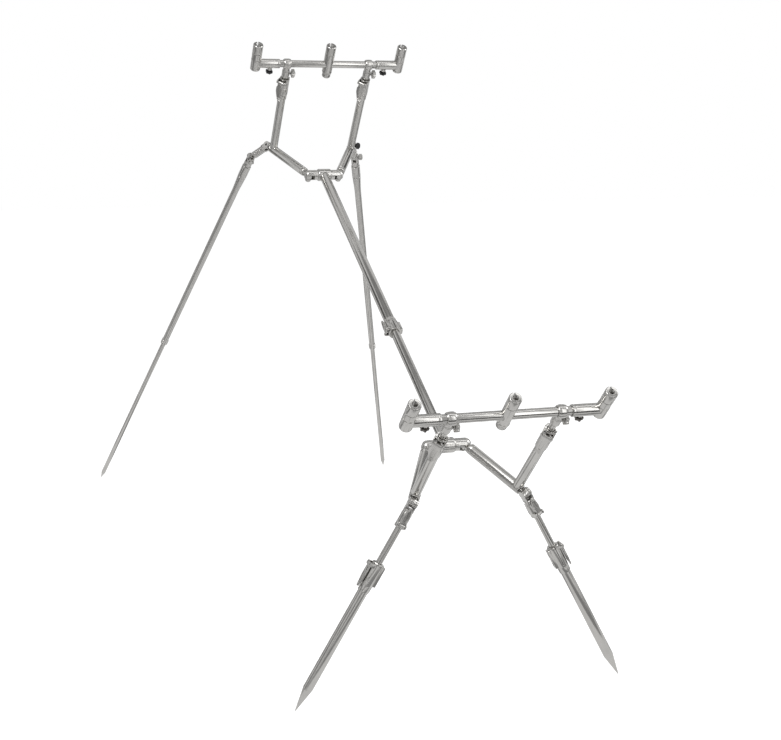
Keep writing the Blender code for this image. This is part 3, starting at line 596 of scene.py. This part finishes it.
def eye(at, reach, reach_along):
    """Rounded hinge eye about the placement's X with its tongue running back along reach_along."""
    disc = rod(KNUCKLE_R, -KNUCKLE_HALF, KNUCKLE_HALF, SMOOTH, at @ ALONG_X, 0.0006)
    back = placing((0, 0, 0), reach_along, X)
    half = KNUCKLE_HALF - FIT
    tongue = block((-half, -TONGUE_HALF, 0), (half, TONGUE_HALF, reach), at @ back, 0.0005)
    bore = rod(KNUCKLE_PIN_R + FIT, -PAST, PAST, SLIM, at @ ALONG_X, 0)
    return [disc, tongue], bore


def fork():
    """Two cheeks about X opening towards -Z, joined to a body that starts up the Z axis."""
    blank = rod(KNUCKLE_R, -CHEEK_HALF, CHEEK_HALF, SMOOTH, ALONG_X, 0.0008)
    half = CHEEK_HALF - 0.0003
    web = block((-half, -WEB_HALF, 0), (half, WEB_HALF, FORK_LENGTH), edge=0.0006)
    gap = KNUCKLE_HALF + FIT
    slot = block((-gap, -0.03, -0.03), (gap, 0.03, FORK_SLOT), edge=0)
    hole = rod(KNUCKLE_PIN_R + FIT, -PAST, PAST, SLIM, ALONG_X, 0)
    return [blank, web], slot, hole


def weld_path(arm_dir, count=64):
    """Seam where an upright on Z through the origin leaves an arm running along arm_dir."""
    path = []
    for i in range(count):
        turn = 2 * pi * i / count
        radius = UPRIGHT_R + 0.0001
        p = Vector((radius * cos(turn), radius * sin(turn), 0))
        # height at which this line of the upright meets the arm's surface, |p - (p.d) d| = ARM_R
        a = 1 - arm_dir.z ** 2
        flat = p.dot(arm_dir)
        b = -2 * flat * arm_dir.z
        c = p.length_squared - flat ** 2 - ARM_R ** 2
        root = max(0.0, b * b - 4 * a * c)
        p.z = (-b + sqrt(root)) / (2 * a)
        path.append(p)
    return path


def side_frame(arm_local, foot, top, clamp, knuckle_place):
    """Arm with its hinge eye, the upright welded to it, the upright's clamp and the leg's eye."""
    arm = placing((0, 0, 0), arm_local, X)
    upright = Matrix.Translation(foot)
    length = foot.length
    hinge_eye = rod(EYE_R, -EYE_HALF, EYE_HALF, SMOOTH, rim=0.0006)
    flat = Vector((arm_local.x, arm_local.y, 0))
    neck = block((-0.0040, -TONGUE_HALF, 0), (0.0040, TONGUE_HALF, 0.0170), placing((0, 0, 0), flat, Z), 0.0006)
    groove_r = ARM_R - 0.0004
    arm_end = length + KNUCKLE_REACH - KNUCKLE_R - 0.0020
    arm_tube = turned([(0, 0.0135), (0.0086, 0.0135, 0.0006), (ARM_R, 0.0155, 0.0010),
                       (ARM_R, 0.0215, 0.0002), (groove_r, 0.0219, 0), (groove_r, 0.0225, 0),
                       (ARM_R, 0.0229, 0.0002), (ARM_R, arm_end, 0.0022), (0, arm_end)], SMOOTH, arm)
    upright_tube = rod(UPRIGHT_R, 0, top - 0.0050, SMOOTH, upright)
    leg_eye, leg_hole = eye(knuckle_place, KNUCKLE_REACH, knuckle_place.to_3x3().inverted() @ -arm_local)
    seam = bead([foot + p for p in weld_path(arm_local)], 0.0010)
    add = [neck, arm_tube, upright_tube] + clamp_parts(CLAMP_R, CLAMP_LENGTH, WIDE, clamp) + leg_eye + [seam]
    hollow = rod(UPRIGHT_R - TUBE_WALL, -0.0010, top - 0.0280, SMOOTH, upright, 0)
    post_bore = rod(POST_R + FIT, top - 0.0300, top + PAST, SMOOTH, upright, 0)
    mouth = turned([(0, top - 0.0008), (POST_R + 0.0002, top - 0.0008, 0), (POST_R + 0.0011, top + 0.0001, 0),
                    (0, top + 0.001)], SMOOTH, upright, 0)
    hinge_hole = rod(SCREW_HOLE_R, -PAST, PAST, NEAT, rim=0)
    cut = [hollow, post_bore, mouth, hinge_hole, leg_hole] + clamp_cuts(CLAMP_R, CLAMP_LENGTH, clamp)
    pins = [clamp_pin(CLAMP_R, WIDE, clamp)] + pad_screws(CLAMP_R, CLAMP_LENGTH, clamp)
    return join(hinge_eye, add, cut, pins)


# ---------------------------------------------------------------- posts, cradles, rod bars and rests
POST_SEAT = 0.0120
ROD_BAR_R = 0.0080
CRADLE_R = 0.0115
CRADLE_HALF = 0.0080
NECK_R = 0.0085
NECK_LENGTH = 0.0345
CRADLE_KNOB_DROP = 0.0260
REST_TOP = 0.050
REST_R = 0.0111
REST_FLAT = 0.0103
END_REST_BOTTOM = 0.016
MIDDLE_REST_BOTTOM = 0.022
MIDDLE_NUT_HEIGHT = 0.011
SOCKET_R = 0.00475
SOCKET_DEPTH = 0.028
SLEEVE_R = 0.0103
SLEEVE_BOSS_DROP = 0.0160
SLEEVE_BORE_START = 0.0170      # the sleeve's bore begins this far in from the rest
SCREW_R = 0.0020
FLAT_STEPS = (0.0003, 0.0002, 0.0, 0.0002)  # how far each flat in turn stands out from the deepest
FLATS_TOP = 0.0275
END_FLATS_LOW = 0.0122
MIDDLE_FLATS_LOW = -0.0175


def post(low, high):
    """Tube closed at its top, with a small chamfer at its foot."""
    bore = POST_R - TUBE_WALL
    under_top = high - 0.008
    return turned([(bore, under_top, 0), (bore, low), (POST_R, low, 0.0006), (POST_R, high), (0, high, 0),
                   (0, under_top)], SMOOTH)


def cradle():
    """Ring round the rod bar on a stepped neck, with a socket for the post and a thumb screw's hole."""
    waist_r = NECK_R - 0.0010
    neck = turned([(0, -NECK_LENGTH), (NECK_R - 0.0006, -NECK_LENGTH),
                   (NECK_R, -NECK_LENGTH + 0.0020, 0.0006), (NECK_R, -0.0180, 0.0010),
                   (waist_r, -0.0160, 0.0010), (waist_r, -0.0085), (0, -0.0085)], SMOOTH)
    rim_r = CRADLE_R - 0.0014
    crown = CRADLE_HALF - 0.0030
    ring = turned([(0, -CRADLE_HALF), (rim_r, -CRADLE_HALF, 0.0006), (CRADLE_R, -crown, 0.0024),
                   (CRADLE_R, crown, 0.0024), (rim_r, CRADLE_HALF, 0.0006), (0, CRADLE_HALF)],
                  SMOOTH, ALONG_X)
    knob_axis = shift(z=-CRADLE_KNOB_DROP) @ ALONG_X
    boss = turned([(0, 0.004), (0.0046, 0.004), (0.0046, NECK_R - 0.0002, 0.0004), (0, NECK_R - 0.0002)],
                  NEAT, knob_axis)
    cut = [rod(ROD_BAR_R + FIT, -FAR_PAST, FAR_PAST, SMOOTH, ALONG_X, 0),
           rod(POST_R + FIT, -FAR_PAST, -POST_SEAT, SMOOTH, rim=0),
           rod(SCREW_R + FIT, 0.0015, 0.03, SLIM, knob_axis, 0)]
    return join(ring, [neck, boss], cut)


def rest(bottom):
    """Rod rest with a bright chamfered rim, a parting line below its split part and an eased foot."""
    line = REST_TOP - 0.0215
    groove_r = REST_R - 0.0006
    return turned([(0, -bottom), (REST_R - 0.0015, -bottom, 0.0005), (REST_R, -bottom + 0.0015, 0.0008),
                   (REST_R, line - 0.0005, 0.0002), (groove_r, line - 0.0004, 0),
                   (groove_r, line + 0.0004, 0), (REST_R, line + 0.0005, 0.0002),
                   (REST_R, REST_TOP - 0.0014, 0.0006), (REST_R - 0.0014, REST_TOP, 0.0004), (0, REST_TOP)])


def rest_cuts(flat_low):
    """Threaded socket, the split down its rear wall and eight flats round the lower block."""
    low = REST_TOP - SOCKET_DEPTH
    turns = int((SOCKET_DEPTH - 0.0012) / THREAD_PITCH)
    thread = [(0, low), (SOCKET_R - THREAD_DEPTH, low, 0)]
    for i in range(turns):
        thread.append((SOCKET_R, low + (i + 0.5) * THREAD_PITCH, 0))
        thread.append((SOCKET_R - THREAD_DEPTH, low + (i + 1) * THREAD_PITCH, 0))
    mouth = [(SOCKET_R - 0.0002, REST_TOP - 0.0009, 0), (SOCKET_R + 0.0006, REST_TOP + 0.0001, 0),
             (0, REST_TOP + 0.001)]
    socket = turned(thread + mouth, SMOOTH, rim=0)
    cuts = [socket, block((-0.0015, 0, REST_TOP - 0.020), (0.0015, 0.03, REST_TOP + PAST), edge=0)]
    for i in range(8):
        turn = Matrix.Rotation(pi / 4 * i, 4, "Z")
        depth = REST_FLAT + FLAT_STEPS[i % 4]
        cuts.append(block((depth, -0.03, flat_low), (0.03, 0.03, FLATS_TOP), turn, 0))
    return cuts


def bar_sleeve(side, reach, knob_back):
    """Sliding sleeve with a groove near its mouth, its screw boss below and its rod rest."""
    inward = Matrix.Rotation(-side * pi / 2, 4, "Y")
    groove_r = SLEEVE_R - 0.0004
    barrel = turned([(0, 0), (SLEEVE_R, 0), (SLEEVE_R, reach - 0.0060, 0.0002),
                     (groove_r, reach - 0.0057, 0), (groove_r, reach - 0.0051, 0),
                     (SLEEVE_R, reach - 0.0048, 0.0002), (SLEEVE_R, reach, 0.0010), (0, reach)],
                    SMOOTH, inward)
    below = shift(-side * knob_back) @ Matrix.Rotation(pi, 4, "X")
    boss = rod(0.0050, SLEEVE_R - 0.0010, SLEEVE_BOSS_DROP, SMOOTH, below, 0.0005)
    cut = [rod(ROD_BAR_R + FIT, SLEEVE_BORE_START, 0.1, SMOOTH, inward, 0),
           rod(SCREW_R + FIT, 0, 0.03, SLIM, below, 0)]
    return join(rest(END_REST_BOTTOM), [barrel, boss], cut + rest_cuts(END_FLATS_LOW))


def middle_rest():
    """Middle rod rest with the bar through it and a screw hole below."""
    cut = [rod(ROD_BAR_R + FIT, -FAR_PAST, FAR_PAST, SMOOTH, ALONG_X, 0),
           rod(SCREW_HOLE_R, -FAR_PAST, 0, NEAT, rim=0)]
    return join(rest(MIDDLE_REST_BOTTOM), (), cut + rest_cuts(MIDDLE_FLATS_LOW))


# ---------------------------------------------------------------- legs
LEG_CLAMP_R = 0.0100
LEG_CLAMP_LENGTH = 0.048
ROD_FOOT = 0.0180
FRONT_ROD_R = 0.0058
FRONT_SPIKE_R = 0.0090
FRONT_POINT = 0.044
BACK_SPIKE_R = 0.0060
BACK_POINT = 0.026
BACK_LEG_R = 0.0080
RIB_PITCH = 0.0048
HOLLOW = 0.05                   # depth that an open tube end is hollow for


def knuckle(length, turn_to_leg):
    """Ribbed link between the arm's eye and the leg: fork at the origin, eye at its far end."""
    add, slot, hole = fork()
    far_eye, far_hole = eye(shift(z=length) @ Matrix.Rotation(turn_to_leg, 4, "Z"), 0.0140, (0, 0, -1))
    low = 0.0120
    high = length - 0.0112
    ribs = [(0, low), (KNUCKLE_R, low, 0.0010)]
    groove_r = KNUCKLE_R - 0.0009
    for i in range(int((high - low - 0.006) / RIB_PITCH)):
        start = low + 0.0035 + i * RIB_PITCH
        ribs += [(KNUCKLE_R, start, 0.0004), (groove_r, start + 0.0005, 0.0003),
                 (groove_r, start + 0.0013, 0.0003), (KNUCKLE_R, start + 0.0018, 0.0004)]
    body = turned(ribs + [(KNUCKLE_R, high, 0.0010), (0, high)], SMOOTH)
    return join(add[0], add[1:] + [body] + far_eye, [slot, hole, far_hole])


def back_leg(length):
    """Upper leg tube: forked top, two ringed collars, a taper and an end collar; open below."""
    add, slot, hole = fork()
    bore = BACK_SPIKE_R + FIT
    body = turned([(0, 0.0120), (0.0088, 0.0120, 0.0006), (0.0094, 0.0140, 0.0008), (0.0094, 0.0250, 0.0004),
                   (0.0083, 0.0256, 0), (0.0083, 0.0264, 0), (0.0104, 0.0270, 0.0005),
                   (0.0104, 0.0600, 0.0005), (0.0092, 0.0606, 0), (0.0092, 0.0614, 0),
                   (0.0102, 0.0620, 0.0006), (BACK_LEG_R, 0.1050, 0.0080),
                   (BACK_LEG_R, length - 0.0160, 0.0003),
                   (0.0093, length - 0.0150, 0.0006), (0.0093, length - 0.0105, 0.0002),
                   (0.0089, length - 0.0102, 0), (0.0089, length - 0.0094, 0),
                   (0.0093, length - 0.0091, 0.0002), (0.0093, length - 0.0010, 0.0006),
                   (0.0083, length, 0.0003), (bore, length, 0.0003), (bore, 0.0300, 0), (0, 0.0300)], SMOOTH)
    return join(add[0], add[1:] + [body], [slot, hole])


def back_spike(length):
    """Tube with a turned point, open at its top, hanging below Z=0."""
    bore = BACK_SPIKE_R - TUBE_WALL
    shoulder = -length + BACK_POINT
    shoulder_r = BACK_SPIKE_R - 0.0004
    return turned([(0, -length), (0.0006, -length + 0.0006, 0.0004), (shoulder_r, shoulder, 0.0040),
                   (shoulder_r, shoulder + 0.0010, 0), (BACK_SPIKE_R, shoulder + 0.0014, 0),
                   (BACK_SPIKE_R, 0), (bore, 0), (bore, -HOLLOW, 0), (0, -HOLLOW)], SMOOTH)


def leg_clamp():
    """Forked clamp that holds the thin leg rod; its mouth faces up the Z axis."""
    add, slot, _ = fork()
    clamp = shift(z=LEG_CLAMP_LENGTH)
    length = LEG_CLAMP_LENGTH - 0.0125
    reach = CHEEK_HALF - 0.0010
    pin = turned([(0, -reach - 0.0012), (0.0030, -reach - 0.0010, 0.0006), (0.0036, -reach - 0.0001),
                  (KNUCKLE_PIN_R, -reach - 0.0001), (KNUCKLE_PIN_R, reach + 0.0001), (0.0036, reach + 0.0001),
                  (0.0030, reach + 0.0010, 0.0006), (0, reach + 0.0012)], NEAT, ALONG_X, 0.0001)
    parts = clamp_parts(LEG_CLAMP_R, length, NARROW, clamp)
    bore = rod(FRONT_ROD_R + FIT, ROD_FOOT - 0.0015, 0.1, SMOOTH, rim=0)
    return join(add[0], add[1:] + parts, [slot, bore] + clamp_cuts(LEG_CLAMP_R, length, clamp),
                [pin, clamp_pin(LEG_CLAMP_R, NARROW, clamp)] + pad_screws(LEG_CLAMP_R, length, clamp))


def leg_rod(length):
    """Thin leg rod with a rounded foot."""
    bore = FRONT_ROD_R - TUBE_WALL
    return turned([(0, 0), (FRONT_ROD_R, 0, 0.0008), (FRONT_ROD_R, length), (bore, length),
                   (bore, length - HOLLOW, 0), (0, length - HOLLOW)], SMOOTH)


def front_spike(length):
    """Spike tube with its own clamp collar, hanging below its mouth at Z=0."""
    parts = clamp_parts(CLAMP_R, CLAMP_LENGTH, NARROW)
    shoulder = -length + FRONT_POINT
    shoulder_r = FRONT_SPIKE_R - 0.0005
    body = turned([(0, -length), (0.0007, -length + 0.0007, 0.0004), (shoulder_r, shoulder, 0.0060),
                   (shoulder_r, shoulder + 0.0012, 0), (FRONT_SPIKE_R, shoulder + 0.0016, 0.0002),
                   (FRONT_SPIKE_R, -0.0020), (0, -0.0020)], SMOOTH)
    cut = [rod(FRONT_ROD_R + FIT, -0.0320, PAST, SMOOTH, rim=0),
           rod(FRONT_SPIKE_R - TUBE_WALL, shoulder, -0.0300, SMOOTH, rim=0)]
    return join(body, parts, cut + clamp_cuts(CLAMP_R, CLAMP_LENGTH),
                [clamp_pin(CLAMP_R, NARROW)] + pad_screws(CLAMP_R, CLAMP_LENGTH))


# ---------------------------------------------------------------- the centre bar
bar_dir = -axis_of("main_bar_slide")
OUTER_R = 0.0110
INNER_R = 0.0090
MAIN_COLLAR_R = 0.0138
MAIN_COLLAR_LENGTH = 0.040

outer_place, outer_size = centred("main_outer_tube", bar_dir, X)
piece("main_outer_tube", tube(OUTER_R, INNER_R + FIT, 0, outer_size.z), outer_place, "drawn")
inner_place, inner_size = centred("main_inner_tube", bar_dir, X)
piece("main_inner_tube", tube(INNER_R, INNER_R - TUBE_WALL, 0, inner_size.z), inner_place, "drawn")

main_clamp = clamp_place("main_clamp_lever", outer_place.translation, -bar_dir)
outer_end = -(main_clamp.inverted() @ outer_place.translation).z
collar_cuts = [rod(OUTER_R + FIT, -0.1, -outer_end + FIT, SMOOTH, rim=0),
               rod(INNER_R + FIT, -0.1, 0.1, SMOOTH, rim=0)]
collar_body, *collar_details = clamp_parts(MAIN_COLLAR_R, MAIN_COLLAR_LENGTH, NARROW)
collar = join(collar_body, collar_details,
              collar_cuts + clamp_cuts(MAIN_COLLAR_R, MAIN_COLLAR_LENGTH),
              [clamp_pin(MAIN_COLLAR_R, NARROW)] + pad_screws(MAIN_COLLAR_R, MAIN_COLLAR_LENGTH))
piece("main_clamp_collar", collar, main_clamp, "cast")
SHORT_LEVER = lever(0.034, NARROW, 0.0005)
LEG_LEVER = lever(0.044, NARROW, 0.0005)
UPRIGHT_LEVER = lever(0.050, WIDE, 0.0022)
piece("main_clamp_lever", SHORT_LEVER, lever_place("main_clamp_lever", -bar_dir), "pressed")

# ---------------------------------------------------------------- meshes that several nodes share
CRADLE = cradle()
CRADLE_KNOB = knob(NECK_R - POST_R - 0.0005, 0.0098, gap=0.0025)
SLEEVE_KNOBS = {"back": knob(SLEEVE_BOSS_DROP - ROD_BAR_R - 0.0005, 0.0082, 0.0080, 0.0003)}
SLEEVE_KNOBS["front"] = SLEEVE_KNOBS["back"].copy()
BLACK_PIVOT_KNOB = knob(2 * CHEEK_HALF, 0.0080, gap=0.0003, screw_radius=KNUCKLE_PIN_R, lobes=5)
PIVOT_KNOB = BLACK_PIVOT_KNOB.copy()
MIDDLE_REST = middle_rest()
MIDDLE_NUT = nut()
LEG_CLAMP = leg_clamp()

# ---------------------------------------------------------------- the two ends
sleeves = {}
for end, facing in ENDS.items():
    up = axis_of(f"{end}_left_post_slide")
    hinges = {side: pivot_of(f"{end}_{side}_arm_fold") for side in SIDES}
    yoke_at = (hinges["left"] + hinges["right"]) / 2
    yoke_place = placing(yoke_at, up, X)
    bar_local = yoke_place.to_3x3().inverted() @ (bar_dir * -facing)
    piece(f"{end}_yoke", yoke(bar_local, OUTER_R if end == "back" else INNER_R), yoke_place, "cast")

    for side in SIDES:
        name = f"{end}_{side}"
        swing = f"{name}_knuckle_swing" if end == "back" else f"{name}_leg_swing"
        knuckle_at = pivot_of(swing)
        arm_dir = (knuckle_at - hinges[side]).normalized()
        cradle_at = pivot_of(f"{name}_cradle_turn")
        arm_length = (knuckle_at - hinges[side]).length - KNUCKLE_REACH
        foot_at = hinges[side] + arm_dir * arm_length
        hinge_place = placing(hinges[side], up, X)
        to_local = hinge_place.inverted()
        clamp = clamp_place(f"{name}_upright_lever", foot_at, up)
        top = (to_local @ clamp.translation - to_local @ foot_at).z
        if end == "back":
            next_at = pivot_of(f"{name}_leg_swing")
            next_dir = (next_at - knuckle_at).normalized()
        else:
            next_dir = axis_of(f"{name}_leg_slide")
        knuckle_place = placing(knuckle_at, next_dir, axis_of(swing))
        mesh = side_frame(to_local.to_3x3() @ arm_dir, to_local @ foot_at, top, to_local @ clamp,
                          to_local @ knuckle_place)
        piece(f"{name}_side_frame", mesh, hinge_place, "drawn")
        piece(f"{name}_upright_lever", UPRIGHT_LEVER, lever_place(f"{name}_upright_lever", up), "pressed")

        cradle_place = placing(cradle_at, up, X)
        low, high = extent(f"{name}_post", cradle_place)
        piece(f"{name}_post", post(low.z, high.z), cradle_place, "drawn")
        piece(f"{name}_cradle", CRADLE, cradle_place, "turned")
        knob_turn = f"{name}_cradle_knob_turn"
        knob_place = placing(pivot_of(knob_turn), axis_of(knob_turn), -up)
        piece(f"{name}_cradle_knob", CRADLE_KNOB, knob_place, "turned")

        if end == "back":
            leg_dir = axis_of(f"{name}_leg_slide")
            leg_axis = axis_of(f"{name}_leg_swing")
            leg_place = placing(next_at, leg_dir, leg_axis)
            aligned = knuckle_place.to_3x3().inverted() @ leg_axis
            link = knuckle((next_at - knuckle_at).length, atan2(aligned.y, aligned.x))
            piece(f"{name}_knuckle", link, knuckle_place, "cast")
            outside = shift(CHEEK_HALF) @ ALONG_X
            piece(f"{name}_knuckle_knob", BLACK_PIVOT_KNOB, knuckle_place @ outside, "black")
            low, high = extent(f"{name}_leg_tube", leg_place)
            piece(f"{name}_leg_tube", back_leg(high.z), leg_place, "drawn")
            piece(f"{name}_leg_knob", PIVOT_KNOB, leg_place @ outside, "turned")
            spike_place, spike_size = centred(f"{name}_leg_spike", -leg_dir, leg_axis)
            piece(f"{name}_leg_spike", back_spike(spike_size.z), spike_place @ shift(z=spike_size.z), "drawn")
        else:
            rod_lever = f"{name}_leg_clamp_lever"
            spike_lever = f"{name}_leg_spike_lever"
            piece(f"{name}_leg_clamp", LEG_CLAMP, knuckle_place, "cast")
            piece(rod_lever, SHORT_LEVER, lever_place(rod_lever, next_dir), "pressed")
            low, high = extent(f"{name}_leg_rod", knuckle_place)
            piece(f"{name}_leg_rod", leg_rod(high.z - low.z), knuckle_place @ shift(z=low.z), "drawn")
            spike_place = clamp_place(spike_lever, knuckle_at, -next_dir)
            low, high = extent(f"{name}_leg_spike", spike_place)
            piece(f"{name}_leg_spike", front_spike(-low.z), spike_place, "drawn")
            piece(spike_lever, LEG_LEVER, lever_place(spike_lever, -next_dir), "pressed")

    # rod bar and its rests
    bar_at = pivot_of(f"{end}_middle_rest_tilt")
    bar_place = placing(bar_at, up, X)
    low, high = extent(f"{end}_rod_bar", bar_place)
    rod_bar = tube(ROD_BAR_R, ROD_BAR_R - TUBE_WALL, low.x, high.x, at=ALONG_X)
    piece(f"{end}_rod_bar", rod_bar, bar_place, "drawn_x")
    piece(f"{end}_middle_rest", MIDDLE_REST, bar_place, "cast")
    piece(f"{end}_middle_nut", MIDDLE_NUT, bar_place, "turned")
    for side, sign in SIDES.items():
        name = f"{end}_{side}"
        low, high = extent(f"{name}_bar_sleeve", bar_place)
        spacing = max(abs(low.x), abs(high.x)) - REST_R
        reach = spacing - min(abs(low.x), abs(high.x))
        knob_at = pivot_of(f"{name}_sleeve_knob_turn")
        knob_back = spacing - abs((bar_place.inverted() @ knob_at).x)
        if side not in sleeves:
            sleeves[side] = bar_sleeve(sign, reach, knob_back)
        piece(f"{name}_bar_sleeve", sleeves[side], bar_place @ shift(sign * spacing), "cast")
        screw_place = placing(knob_at, axis_of(f"{name}_sleeve_knob_turn"), X)
        piece(f"{name}_sleeve_knob", SLEEVE_KNOBS[end], screw_place, "black" if end == "back" else "dark")

# ---------------------------------------------------------------- camera
CAMERA_AT = Vector((-0.80935, -3.03530, 0.92729))
CAMERA_YAW = 0.3061482812
CAMERA_PITCH = -0.1478784826
CAMERA_ROLL = -0.0087299417
LENS = 62.7566

look = Vector((sin(CAMERA_YAW) * cos(CAMERA_PITCH), cos(CAMERA_YAW) * cos(CAMERA_PITCH), sin(CAMERA_PITCH)))
right = look.cross(Z).normalized()
above = right.cross(look)
right, above = (right * cos(CAMERA_ROLL) + above * sin(CAMERA_ROLL),
                above * cos(CAMERA_ROLL) - right * sin(CAMERA_ROLL))
camera_data = bpy.data.cameras.new("camera")
camera_data.lens = LENS
camera_data.sensor_fit = "HORIZONTAL"
camera_data.sensor_width = 36.0
camera_data.clip_start = 0.01
camera_data.clip_end = 100.0
camera = bpy.data.objects.new("camera", camera_data)
camera.matrix_world = Matrix((right, above, -look)).transposed().to_4x4()
camera.location = CAMERA_AT
bpy.context.scene.collection.objects.link(camera)
bpy.context.scene.camera = camera


# ---------------------------------------------------------------- studio
def studio_material(name, build):
    material = bpy.data.materials.new(name)
    material.use_nodes = True
    tree = material.node_tree
    tree.nodes.clear()
    output = tree.nodes.new("ShaderNodeOutputMaterial")
    tree.links.new(build(tree), output.inputs["Surface"])
    return material


def seen_directly(tree):
    """1 where a ray comes from the camera, a reflection or through glass."""
    path = tree.nodes.new("ShaderNodeLightPath")
    either = tree.nodes.new("ShaderNodeMath")
    either.operation = "MAXIMUM"
    tree.links.new(path.outputs["Is Camera Ray"], either.inputs[0])
    tree.links.new(path.outputs["Is Glossy Ray"], either.inputs[1])
    every = tree.nodes.new("ShaderNodeMath")
    every.operation = "MAXIMUM"
    tree.links.new(either.outputs["Value"], every.inputs[0])
    tree.links.new(path.outputs["Is Transmission Ray"], every.inputs[1])
    return every.outputs["Value"]


def grey(level):
    return (level, level, level, 1)


def floor_shader(tree):
    """Pale floor that reads as white where no shadow falls."""
    matt = tree.nodes.new("ShaderNodeBsdfDiffuse")
    matt.inputs["Color"].default_value = grey(0.62)
    glow = tree.nodes.new("ShaderNodeEmission")
    glow.inputs["Color"].default_value = grey(0.74)
    tree.links.new(seen_directly(tree), glow.inputs["Strength"])
    both = tree.nodes.new("ShaderNodeAddShader")
    tree.links.new(matt.outputs["BSDF"], both.inputs[0])
    tree.links.new(glow.outputs["Emission"], both.inputs[1])
    return both.outputs["Shader"]


def card_shader(level):
    """Even card of one brightness that polished metal mirrors."""
    def build(tree):
        glow = tree.nodes.new("ShaderNodeEmission")
        glow.inputs["Color"].default_value = grey(level)
        return glow.outputs["Emission"]
    return build


def card(name, centre, facing_to, width, height, material):
    """Upright or tilted rectangle that faces a point."""
    mesh = bpy.data.meshes.new(name)
    w, h = width / 2, height / 2
    mesh.from_pydata([(-w, -h, 0), (w, -h, 0), (w, h, 0), (-w, h, 0)], [], [(0, 1, 2, 3)])
    mesh.materials.append(material)
    thing = bpy.data.objects.new(name, mesh)
    towards = Vector(facing_to) - Vector(centre)
    upright = abs(towards.normalized().z) < 0.9
    thing.matrix_world = placing(centre, towards, Z.cross(towards) if upright else X)
    bpy.context.scene.collection.objects.link(thing)
    return thing


FLOOR_SIDE = 60
FLOOR_DROP = 0.0006             # floor below the leg points
card("floor", (0, 0, -FLOOR_DROP), Z, FLOOR_SIDE, FLOOR_SIDE, studio_material("pale_floor", floor_shader))

MIDDLE = Vector((0, 0, 0.6))
CARD_DISTANCE = 4.2
CARDS = (                       # bearing from +Y and width in degrees, brightness
    (0, 10, 0.40), (13, 14, 0.85), (28, 14, 0.22), (46, 20, 0.70), (70, 26, 0.11), (96, 26, 0.72),
    (122, 24, 0.38), (144, 18, 0.72), (160, 8, 2.2), (174, 18, 0.48), (192, 16, 0.70), (210, 16, 0.40),
    (230, 22, 0.68), (256, 28, 0.28), (282, 22, 0.75), (304, 20, 0.12), (322, 16, 0.70), (338, 14, 0.20),
    (350, 10, 0.85))
CARD_HEIGHT = 4.4
OVERHEAD_HEIGHT = 4.2
OVERHEAD_WIDTH = 8.4
OVERHEAD = (                    # place along Y, length, brightness
    (-3.5, 1.4, 0.50), (-2.4, 0.8, 0.36), (-1.7, 0.6, 2.0), (-0.6, 1.6, 0.60), (0.7, 1.0, 0.26),
    (2.0, 1.6, 0.75), (3.5, 1.4, 0.32))
LOW = (                         # middle of a card just above the floor, its width and length, brightness
    ((0, 0, 0.001), 9.0, 9.0, 0.78), ((0, -2.3, 0.002), 7.0, 1.2, 0.06), ((0, -1.15, 0.002), 7.0, 0.25, 0.30),
    ((0, 2.6, 0.002), 7.0, 1.4, 0.30), ((-1.9, 0.2, 0.002), 1.6, 1.8, 0.25),
    ((1.9, 0.2, 0.002), 1.6, 1.8, 0.25), ((-0.78, 0.3, 0.002), 0.22, 2.2, 0.22),
    ((-0.30, 0.3, 0.002), 0.12, 2.2, 0.30), ((0.10, 0.3, 0.002), 0.10, 2.2, 0.34),
    ((0.62, 0.3, 0.002), 0.16, 2.2, 0.24))


def mirrored_card(name, centre, facing_to, width, height, level):
    """Card that is seen only in the metal's reflections."""
    thing = card(name, centre, facing_to, width, height, studio_material(name, card_shader(level)))
    thing.visible_camera = False
    thing.visible_diffuse = False
    thing.visible_shadow = False


for bearing, wide, level in CARDS:
    turn = radians(bearing)
    centre = (CARD_DISTANCE * sin(turn), CARD_DISTANCE * cos(turn), CARD_HEIGHT / 2)
    across = 2 * CARD_DISTANCE * sin(radians(wide / 2))
    mirrored_card(f"card_{bearing}", centre, (0, 0, CARD_HEIGHT / 2), across, CARD_HEIGHT, level)
for i, (y, length, level) in enumerate(OVERHEAD):
    mirrored_card(f"level_card_{i}", (0, y, OVERHEAD_HEIGHT), (0, y, 0), OVERHEAD_WIDTH, length, level)
for i, (centre, width, length, level) in enumerate(LOW, len(OVERHEAD)):
    mirrored_card(f"level_card_{i}", centre, (centre[0], centre[1], OVERHEAD_HEIGHT), width, length, level)

world = bpy.data.worlds.new("studio")
bpy.context.scene.world = world
world.use_nodes = True
world_tree = world.node_tree
world_tree.nodes["Background"].inputs["Color"].default_value = (1, 1, 1, 1)
strength = world_tree.nodes.new("ShaderNodeMapRange")
strength.inputs["To Min"].default_value = 0.55
strength.inputs["To Max"].default_value = 1.0
world_tree.links.new(seen_directly(world_tree), strength.inputs["Value"])
world_tree.links.new(strength.outputs["Result"], world_tree.nodes["Background"].inputs["Strength"])


def soft_light(name, centre, size, power):
    data = bpy.data.lights.new(name, "AREA")
    data.shape = "RECTANGLE"
    data.size, data.size_y = size
    data.energy = power
    lamp = bpy.data.objects.new(name, data)
    lamp.matrix_world = placing(centre, Vector(centre) - MIDDLE, X)
    bpy.context.scene.collection.objects.link(lamp)


soft_light("key", (-2.2, -2.6, 3.4), (1.6, 1.6), 60)
soft_light("fill", (2.8, -1.2, 2.2), (2.0, 1.4), 25)

bpy.context.scene.view_settings.view_transform = "Standard"
